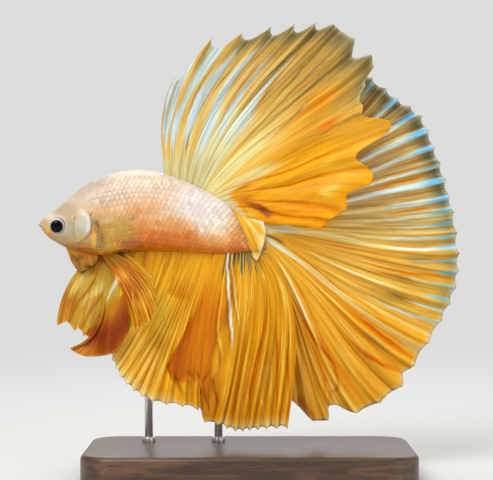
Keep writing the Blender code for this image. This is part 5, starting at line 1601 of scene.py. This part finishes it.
def paint_pectoral(ray, v):
    colour = np.broadcast_to(np.array((0.88, 0.76, 0.5)), (len(ray), 3)).copy()
    dark = bump(np.abs(ray - np.round(ray)), 0.12) * rise((0.24 - v) / 0.14)
    return lay(colour, (0.12, 0.08, 0.03), 0.9 * dark)


def pectoral_alpha(ray, v):
    on_ray = bump(np.abs(ray - np.round(ray)), 0.12)
    dark = on_ray * rise((0.24 - v) / 0.14)
    base = rise((0.14 - v) / 0.1)
    return np.clip(0.03 + 0.09 * on_ray + 0.8 * dark + 0.3 * base, 0, 1)


def back_root(span, inset=0.35):
    """The line along the back, between two places x, that a fin grows from."""

    def root(share):
        x = blend(*span, share)
        return x, along(BODY, x)[0] - inset

    return root


def belly_root(span, inset=0.35):
    """The line along the belly, between two places x, that a fin grows from."""

    def root(share):
        x = blend(*span, share)
        return x, along(BODY, x)[1] + inset

    return root


def make_dorsal(settings):
    """The tall dorsal fin, and the narrow fold of it that hangs down beside the tail stem."""
    make_fin(
        "dorsal_membrane", ("dorsal_fin",), 16, back_root((23.9, 39.2)), DORSAL,
        lambda ray, v, x, z: -blend(1.8, 4.4, rise(ray / 16 * 1.3)) * rise(v * 1.15) * (0.35 + 0.65 * v),
        0.55, DORSAL_TEETH, DORSAL_NOTCHES, paint_dorsal,
        fin_material("fin_pale_membrane", 3.0, 0.38), "fin_pale",
        thick=settings.fin_thickness / MM, columns=576, rows=84, seed=3, rounded=1.0, contrast=0.5,
        calm=dorsal_calm, relief=dorsal_relief,
    )
    make_fin(
        "dorsal_drape", ("dorsal_fold",), 4, back_root((36.2, 39.2)), FOLD,
        lambda ray, v, x, z: -flank(x, z) - 0.65 + 0.5 * rise((0.25 - v) / 0.25),
        0.3, PLAIN_TEETH, (), paint_fold, fin_material("fin_gold_membrane", 3.0, 0.46), "fin_gold",
        thick=settings.fin_thickness / MM, columns=120, rows=60, seed=4, crease=0.08,
    )


def make_tail(settings):
    """The halfmoon tail fin."""
    make_fin(
        "tail_membrane", ("tail_fin",), 26, lambda share: (42.6 + 0 * share, blend(0.3, -4.8, share)), TAIL,
        lambda ray, v, x, z: 0.2 * rise(v / 0.1) + 2.6 * v**0.8,
        0.6, TAIL_TEETH, TAIL_NOTCHES, paint_tail, fin_material("fin_gold_membrane", 3.0, 0.46), "fin_gold",
        thick=settings.fin_thickness / MM, columns=676, rows=72, rounded=0.6, seed=5, contrast=0.5,
    )


def make_anal(settings):
    """The long anal fin, whose front layer hangs over the rest."""
    make_fin(
        "anal_membrane", ("anal_fin",), 20, belly_root((15.3, 42.2)), ANAL,
        lambda ray, v, x, z: blend(1.4, -2.4, ray / 20) * v**0.8,
        0.55, ANAL_TEETH, ANAL_NOTCHES, paint_anal,
        fin_material("fin_orange_membrane", 3.4, 0.48), "fin_orange",
        thick=settings.fin_thickness / MM, columns=640, rows=76, rounded=0.5, seed=6,
        calm=lambda ray, v: 0.8 * anal_drape(ray, v), relief=anal_relief, contrast=0.5,
    )


def make_pelvics(settings):
    """Both pelvic fins: the near one swept back, the far one spread forward."""

    def root(share):
        return 11.5 + 2.6 * share, -4.9 - 0.25 * np.sin(math.pi * share)

    orange, thick = fin_material("fin_orange_membrane", 3.4, 0.48), settings.fin_thickness / MM
    make_fin(
        "pelvic_membrane_left", ("pelvic_fin_left",), 7, root, PELVIC_NEAR,
        lambda ray, v, x, z: -0.75 - 5.0 * rise(v) * (0.4 + 0.6 * v),
        0.5, PELVIC_TEETH, (), paint_pelvic_near, orange, "fin_orange",
        thick=thick, columns=280, rows=80, seed=7, crease=0.16,
    )
    make_fin(
        "pelvic_membrane_right", ("pelvic_fin_right",), 7, root, PELVIC_FAR,
        lambda ray, v, x, z: 1.2 - 2.7 * rise(v) * v,
        0.5, PELVIC_FAR_TEETH, PELVIC_FAR_NOTCHES, paint_pelvic_far, orange, "fin_orange",
        thick=thick, columns=280, rows=80, seed=8, contrast=0.3, calm=lambda ray, v: 0.5,
    )


def make_pectorals():
    """The clear pectoral fins."""
    clear = fin_material("fin_clear_membrane", 3.0, 0.2, alpha="alpha")
    for side, name in ((-1, "left"), (1, "right")):
        make_fin(
            "pectoral_membrane_" + name, ("pectoral_fin_" + name,), 9,
            lambda share: (11.3 + 0 * share, -3.2 + blend(1.5, -1.3, share)), PECTORAL,
            lambda ray, v, x, z, side=side: side * (flank(x, z) + 0.25 + 0.45 * rise(v / 0.2) + 1.5 * v),
            0.35, PECTORAL_TEETH, (), paint_pectoral, clear, "fin_gold",
            columns=162, rows=50, thick=0.1, alpha=pectoral_alpha, crease=0.03, contrast=0.2, seed=9,
        )


def make_gill_membrane():
    """The soft folded membrane under the gill covers of a displaying male."""
    obj, share, v = add_grid("throat_membrane", 150, 90)
    x = blend(5.1, 10.8, share)
    top = along(BODY, x)[1] + 0.25
    full = np.sin(math.pi * np.clip(share, 0.001, 0.999) ** 0.85)
    drop = 0.5 + 3.5 * full**0.7
    lobes = 0.16 * np.sin(share * 17 + 0.6) * full
    side = np.where(v < 0.5, -1.0, 1.0)
    down = 1 - np.abs(2 * v - 1)
    bulge = 0.25 + 0.9 * (0.25 + 0.75 * full)
    y = side * bulge * (1 - down**3) ** 0.8
    folds = 0.12 * np.sin(share * 26 + 3 * down) + 0.07 * np.sin(share * 43 - 4 * down)
    y = y + side * folds * rise(down / 0.3) * rise((1 - down) / 0.12)
    z = top - (drop + lobes) * down - 0.1 * np.sin(share * 31) * rise((down - 0.8) / 0.2) * full
    points = np.stack([x + 0.5 * down, y, z], -1)
    set_places(obj, in_frame(points))
    colour = np.broadcast_to(np.array((0.74, 0.55, 0.22)), (len(x), 3)).copy()
    colour = lay(colour, (0.86, 0.48, 0.04), 0.9 * bump(np.hypot((x - 9.0) / 1.3, (z + 5.3) / 1.0), 1.0))
    colour = lay(colour, (0.66, 0.34, 0.04), 0.7 * rise((0.25 - down) / 0.2))
    for cx, cz, rx, rz, paint in (
        (7.2, -6.6, 0.5, 0.35, (0.36, 0.20, 0.08)), (8.0, -6.2, 0.6, 0.5, (0.40, 0.36, 0.14)),
        (6.6, -6.0, 0.4, 0.3, (0.42, 0.26, 0.08)), (9.1, -7.9, 0.5, 0.25, (0.30, 0.10, 0.02)),
        (7.6, -7.4, 0.4, 0.3, (0.50, 0.40, 0.20)), (8.6, -6.9, 0.8, 0.5, (0.84, 0.60, 0.22)),
    ):
        colour = lay(colour, paint, 0.8 * bump(np.hypot((x - cx) / rx, (z - cz) / rz), 1.2))
    # painted shade on one slope of each fold, in step with the folds of the membrane's shape
    colour = lay(
        colour, (0.50, 0.28, 0.05), 0.5 * (0.5 + 0.5 * np.sin(share * 26 + 3 * down + 1.4)) * rise(down / 0.3)
    )
    colour = lay(
        colour, (0.10, 0.06, 0.03), 0.85 * rise((down - 0.9) / 0.08) * (0.55 + 0.45 * np.sin(share * 23 + 2))
    )
    paint_attribute(obj, "paint", colour)
    paint_attribute(obj, "ray", share * 9)
    paint_attribute(obj, "along", down)
    apply_modifier(obj, "SOLIDIFY", thickness=0.14 * MM, offset=0.0)
    smooth(obj)
    material = fin_material("throat_membrane_skin", 2.0, 0.2, roughness=0.35)
    settle(obj, material, ("gill_membrane",))


# ---------------------------------------------------------------- stand and stage

PLINTH_CORNER, PLINTH_EDGE = 6 * MM, 0.9 * MM
ROD_INSET = 0.0002
COLLAR_HEIGHT, COLLAR_RAISED, COLLAR_EDGE = 1.4 * MM, 0.3 * MM, 0.25 * MM


def make_stand(settings):
    """Walnut base with eased edges and two brushed steel rods in small collars."""
    low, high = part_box("stand_base")
    size, centre = high - low, (low + high) / 2
    start_fresh()
    bpy.ops.mesh.primitive_cube_add(size=1, location=centre)
    base = bpy.context.object
    base.name = base.data.name = "stand_plinth"
    base.scale = size
    place_applied(base)
    bpy.ops.object.mode_set(mode="EDIT")
    bpy.ops.mesh.select_mode(type="EDGE")
    bpy.ops.mesh.select_all(action="DESELECT")
    bpy.ops.object.mode_set(mode="OBJECT")
    for edge in base.data.edges:
        a, b = (base.data.vertices[i].co for i in edge.vertices)
        edge.select = abs(a.z - b.z) > size.z * 0.5
    bpy.ops.object.mode_set(mode="EDIT")
    bpy.ops.mesh.bevel(offset=PLINTH_CORNER, segments=16, profile=0.5, affect="EDGES")
    bpy.ops.mesh.select_all(action="DESELECT")
    bpy.ops.object.mode_set(mode="OBJECT")
    for edge in base.data.edges:
        edge.select = all(base.data.vertices[i].co.z > high.z - 1e-6 for i in edge.vertices)
    bpy.ops.object.mode_set(mode="EDIT")
    bpy.ops.mesh.bevel(offset=PLINTH_EDGE, segments=6, profile=0.5, affect="EDGES")
    bpy.ops.object.mode_set(mode="OBJECT")
    smooth(base, 30)
    settle(base, wood_material(settings), ("stand_base",))
    steel = steel_material(settings)
    for name in ("front", "back"):
        low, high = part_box("stand_rod_" + name)
        radius = (high.x - low.x) / 2
        x = (low.x + high.x) / 2
        foot = Vector((x, high.y - radius, low.z + ROD_INSET))
        head = Vector((x, low.y + radius, high.z - ROD_INSET))
        rod_piece("stand_pin_" + name, foot, head, radius * 0.98, steel, ("stand_rod_" + name,))


def rod_piece(name, foot, head, radius, material, replaces):
    """One rod with eased ends, and the collar where it leaves the plinth."""
    axis = head - foot
    start_fresh()
    bpy.ops.mesh.primitive_cylinder_add(vertices=48, radius=radius, depth=axis.length, end_fill_type="NGON")
    rod = bpy.context.object
    rod.name = rod.data.name = name
    rod.rotation_mode = "QUATERNION"
    rod.rotation_quaternion = Vector((0, 0, 1)).rotation_difference(axis)
    rod.location = (foot + head) / 2
    place_applied(rod)
    apply_modifier(rod, "BEVEL", width=radius * 0.35, segments=4, limit_method="ANGLE")
    up = axis.normalized()
    plinth_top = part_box("stand_base")[1].z
    at = foot + up * ((plinth_top - foot.z) / up.z)
    start_fresh()
    at += Vector((0, 0, COLLAR_RAISED))
    bpy.ops.mesh.primitive_cylinder_add(vertices=48, radius=radius * 1.7, depth=COLLAR_HEIGHT, location=at)
    collar = bpy.context.object
    collar.name = collar.data.name = name.replace("pin", "collar")
    place_applied(collar)
    apply_modifier(collar, "BEVEL", width=COLLAR_EDGE, segments=4, limit_method="ANGLE")
    smooth(rod, 40)
    smooth(collar, 40)
    settle(rod, material, replaces)
    settle(collar, material)


FLOOR_RADIUS = 6.0
FLOOR_FADE = (0.08, 0.5)  # distances from the middle between which the floor turns into the backdrop
LIGHTS_AIM = (0.0, 0.0, 0.043)
CAMERA_AT = (-0.000575, -0.312, 0.04415)
LENS, SENSOR = 120, 36


def make_stage(settings):
    """Pale floor that fades into the pale surroundings, soft lights and the camera."""
    scene = bpy.context.scene
    scene.view_settings.view_transform = "Standard"
    around = (*settings.surround, 1)
    world = bpy.data.worlds.new("studio")
    world.use_nodes = True
    sky = Nodes(world.node_tree)
    soft = world.node_tree.nodes["Background"]
    soft.inputs["Color"].default_value, soft.inputs["Strength"].default_value = around, 0.6
    seen = sky.add("Background", (("Color", (*settings.backdrop, 1)), ("Strength", 1.0)))
    from_camera = sky.add("LightPath").outputs["Is Camera Ray"]
    shown = sky.add("MixShader", ((0, from_camera), (1, soft.outputs[0]), (2, seen.outputs[0])))
    world.node_tree.links.new(shown.outputs[0], world.node_tree.nodes["World Output"].inputs["Surface"])
    scene.world = world

    start_fresh()
    bpy.ops.mesh.primitive_circle_add(vertices=128, radius=FLOOR_RADIUS, fill_type="NGON")
    floor = bpy.context.object
    floor.name = floor.data.name = "studio_floor"
    material, n, shader = new_material("studio_floor_paint", Roughness=0.6)
    shader.inputs["Base Color"].default_value = (*settings.floor, 1)
    place = n.add("TexCoord").outputs["Object"]
    far = n.add("VectorMath", ((0, place),), operation="LENGTH").outputs["Value"]
    glow = n.add("Emission", (("Color", (*settings.backdrop, 1)), ("Strength", 1.0)))
    join = n.add("MixShader", ((0, n.ramp(far, *FLOOR_FADE)), (1, shader.outputs[0]), (2, glow.outputs[0])))
    surface = material.node_tree.nodes["Material Output"].inputs["Surface"]
    material.node_tree.links.new(join.outputs[0], surface)
    floor.data.materials.append(material)

    centre = Vector(LIGHTS_AIM)
    for name, place, size, power in (
        ("key", (-0.22, -0.36, 0.42), 0.30, settings.key_power),
        ("fill", (0.38, -0.34, 0.16), 0.34, settings.fill_power),
        ("top", (0.02, 0.10, 0.50), 0.34, settings.top_power),
        ("back", (0.05, 0.42, 0.30), 0.40, settings.back_power),
    ):
        light = bpy.data.lights.new(name, "AREA")
        light.size, light.energy = size, power
        lamp = bpy.data.objects.new("light_" + name, light)
        scene.collection.objects.link(lamp)
        lamp.location = place
        lamp.rotation_euler = (centre - Vector(place)).to_track_quat("-Z", "Y").to_euler()

    lens = bpy.data.cameras.new("camera")
    lens.lens, lens.sensor_width = LENS, SENSOR
    lens.clip_start, lens.clip_end = 0.01, 20
    camera = bpy.data.objects.new("camera", lens)
    scene.collection.objects.link(camera)
    camera.location = CAMERA_AT
    camera.rotation_euler = (math.pi / 2, 0, 0)
    scene.camera = camera


# ---------------------------------------------------------------- add-on


class BettaSettings(bpy.types.PropertyGroup):
    coat_depth: bpy.props.FloatProperty(
        name="Coat depth", description="How far the skin lies inside the scales", default=0.12 * MM,
        min=0, max=0.5 * MM, precision=5, unit="LENGTH",
    )
    scale_pitch: bpy.props.FloatProperty(
        name="Scale pitch", description="Distance between scales along a row", default=0.92 * MM,
        min=0.4 * MM, max=3 * MM, precision=5, unit="LENGTH",
    )
    scale_row: bpy.props.FloatProperty(
        name="Scale row height", description="Distance between rows of scales at the shoulder",
        default=0.98 * MM, min=0.4 * MM, max=3 * MM, precision=5, unit="LENGTH",
    )
    pupil: bpy.props.FloatProperty(
        name="Pupil radius", description="Radius of the black pupil", default=1.16 * MM,
        min=0.3 * MM, max=1.5 * MM, precision=5, unit="LENGTH",
    )
    fin_thickness: bpy.props.FloatProperty(
        name="Fin thickness", description="Thickness of the fins' membranes", default=0.16 * MM,
        min=0.05 * MM, max=1 * MM, precision=5, unit="LENGTH",
    )
    wood: bpy.props.FloatVectorProperty(
        name="Wood colour", description="Dark tone of the plinth's walnut", default=(0.055, 0.026, 0.012),
        subtype="COLOR", min=0, max=1,
    )
    steel: bpy.props.FloatVectorProperty(
        name="Steel colour", description="Tone of the two rods", default=(0.62, 0.62, 0.63),
        subtype="COLOR", min=0, max=1,
    )
    floor: bpy.props.FloatVectorProperty(
        name="Floor colour", description="Colour of the studio floor", default=(0.72, 0.72, 0.71),
        subtype="COLOR", min=0, max=1,
    )
    surround: bpy.props.FloatVectorProperty(
        name="Surroundings", description="Tone of the studio around the model", default=(0.80, 0.80, 0.79),
        subtype="COLOR", min=0, max=1,
    )
    backdrop: bpy.props.FloatVectorProperty(
        name="Backdrop", description="Plain pale tone seen behind the model", default=(0.72, 0.72, 0.71),
        subtype="COLOR", min=0, max=1,
    )
    key_power: bpy.props.FloatProperty(
        name="Key light", description="Large light in front", default=2.0, min=0, unit="POWER"
    )
    fill_power: bpy.props.FloatProperty(
        name="Fill light", description="Light from the tail side", default=0.45, min=0, unit="POWER"
    )
    top_power: bpy.props.FloatProperty(
        name="Top light", description="Light from above", default=0.7, min=0, unit="POWER"
    )
    back_power: bpy.props.FloatProperty(
        name="Back light", description="Light from behind", default=0.5, min=0, unit="POWER"
    )


class BETTA_OT_skin(bpy.types.Operator):
    """Build the skin with the modelled head and gill covers"""

    bl_idname = "betta.skin"
    bl_label = "Skin"

    def execute(self, context):
        make_skin(context.scene.betta_fish)
        return {"FINISHED"}


class BETTA_OT_scales(bpy.types.Operator):
    """Lay the rows of scales over the skin"""

    bl_idname = "betta.scales"
    bl_label = "Scales"

    def execute(self, context):
        make_scales(context.scene.betta_fish)
        return {"FINISHED"}


class BETTA_OT_eyes(bpy.types.Operator):
    """Build both eyeballs"""

    bl_idname = "betta.eyes"
    bl_label = "Eyes"

    def execute(self, context):
        make_eyes(context.scene.betta_fish)
        return {"FINISHED"}


class BETTA_OT_throat(bpy.types.Operator):
    """Build the folded membrane under the gill covers"""

    bl_idname = "betta.throat"
    bl_label = "Throat membrane"

    def execute(self, context):
        make_gill_membrane()
        return {"FINISHED"}


class BETTA_OT_dorsal_fin(bpy.types.Operator):
    """Build the dorsal fin and its fold"""

    bl_idname = "betta.dorsal_fin"
    bl_label = "Dorsal fin"

    def execute(self, context):
        make_dorsal(context.scene.betta_fish)
        return {"FINISHED"}


class BETTA_OT_tail_fin(bpy.types.Operator):
    """Build the tail fin"""

    bl_idname = "betta.tail_fin"
    bl_label = "Tail fin"

    def execute(self, context):
        make_tail(context.scene.betta_fish)
        return {"FINISHED"}


class BETTA_OT_anal_fin(bpy.types.Operator):
    """Build the anal fin"""

    bl_idname = "betta.anal_fin"
    bl_label = "Anal fin"

    def execute(self, context):
        make_anal(context.scene.betta_fish)
        return {"FINISHED"}


class BETTA_OT_pelvic_fins(bpy.types.Operator):
    """Build both pelvic fins"""

    bl_idname = "betta.pelvic_fins"
    bl_label = "Pelvic fins"

    def execute(self, context):
        make_pelvics(context.scene.betta_fish)
        return {"FINISHED"}


class BETTA_OT_pectoral_fins(bpy.types.Operator):
    """Build both clear pectoral fins"""

    bl_idname = "betta.pectoral_fins"
    bl_label = "Pectoral fins"

    def execute(self, context):
        make_pectorals()
        return {"FINISHED"}


class BETTA_OT_stand(bpy.types.Operator):
    """Build the plinth, the rods and their collars"""

    bl_idname = "betta.stand"
    bl_label = "Stand"

    def execute(self, context):
        make_stand(context.scene.betta_fish)
        return {"FINISHED"}


class BETTA_OT_stage(bpy.types.Operator):
    """Set the floor, the lights and the camera"""

    bl_idname = "betta.stage"
    bl_label = "Stage"

    def execute(self, context):
        make_stage(context.scene.betta_fish)
        return {"FINISHED"}


OPERATORS = (
    BETTA_OT_skin, BETTA_OT_scales, BETTA_OT_eyes, BETTA_OT_throat, BETTA_OT_dorsal_fin, BETTA_OT_tail_fin,
    BETTA_OT_anal_fin, BETTA_OT_pelvic_fins, BETTA_OT_pectoral_fins, BETTA_OT_stand, BETTA_OT_stage,
)


class BETTA_PT_panel(bpy.types.Panel):
    bl_label = "Betta fish"
    bl_idname = "BETTA_PT_panel"
    bl_space_type = "VIEW_3D"
    bl_region_type = "UI"
    bl_category = "Betta"

    def draw(self, context):
        for operator in OPERATORS:
            self.layout.operator(operator.bl_idname)
        for name in BettaSettings.__annotations__:
            self.layout.prop(context.scene.betta_fish, name)


CLASSES = (BettaSettings, *OPERATORS, BETTA_PT_panel)


def register():
    for made in CLASSES:
        bpy.utils.register_class(made)
    bpy.types.Scene.betta_fish = bpy.props.PointerProperty(type=BettaSettings)


def unregister():
    del bpy.types.Scene.betta_fish
    for made in reversed(CLASSES):
        bpy.utils.unregister_class(made)


def main():
    register()
    for operator in OPERATORS:
        area, name = operator.bl_idname.split(".")
        getattr(getattr(bpy.ops, area), name)()


if __name__ == "__main__":
    main()
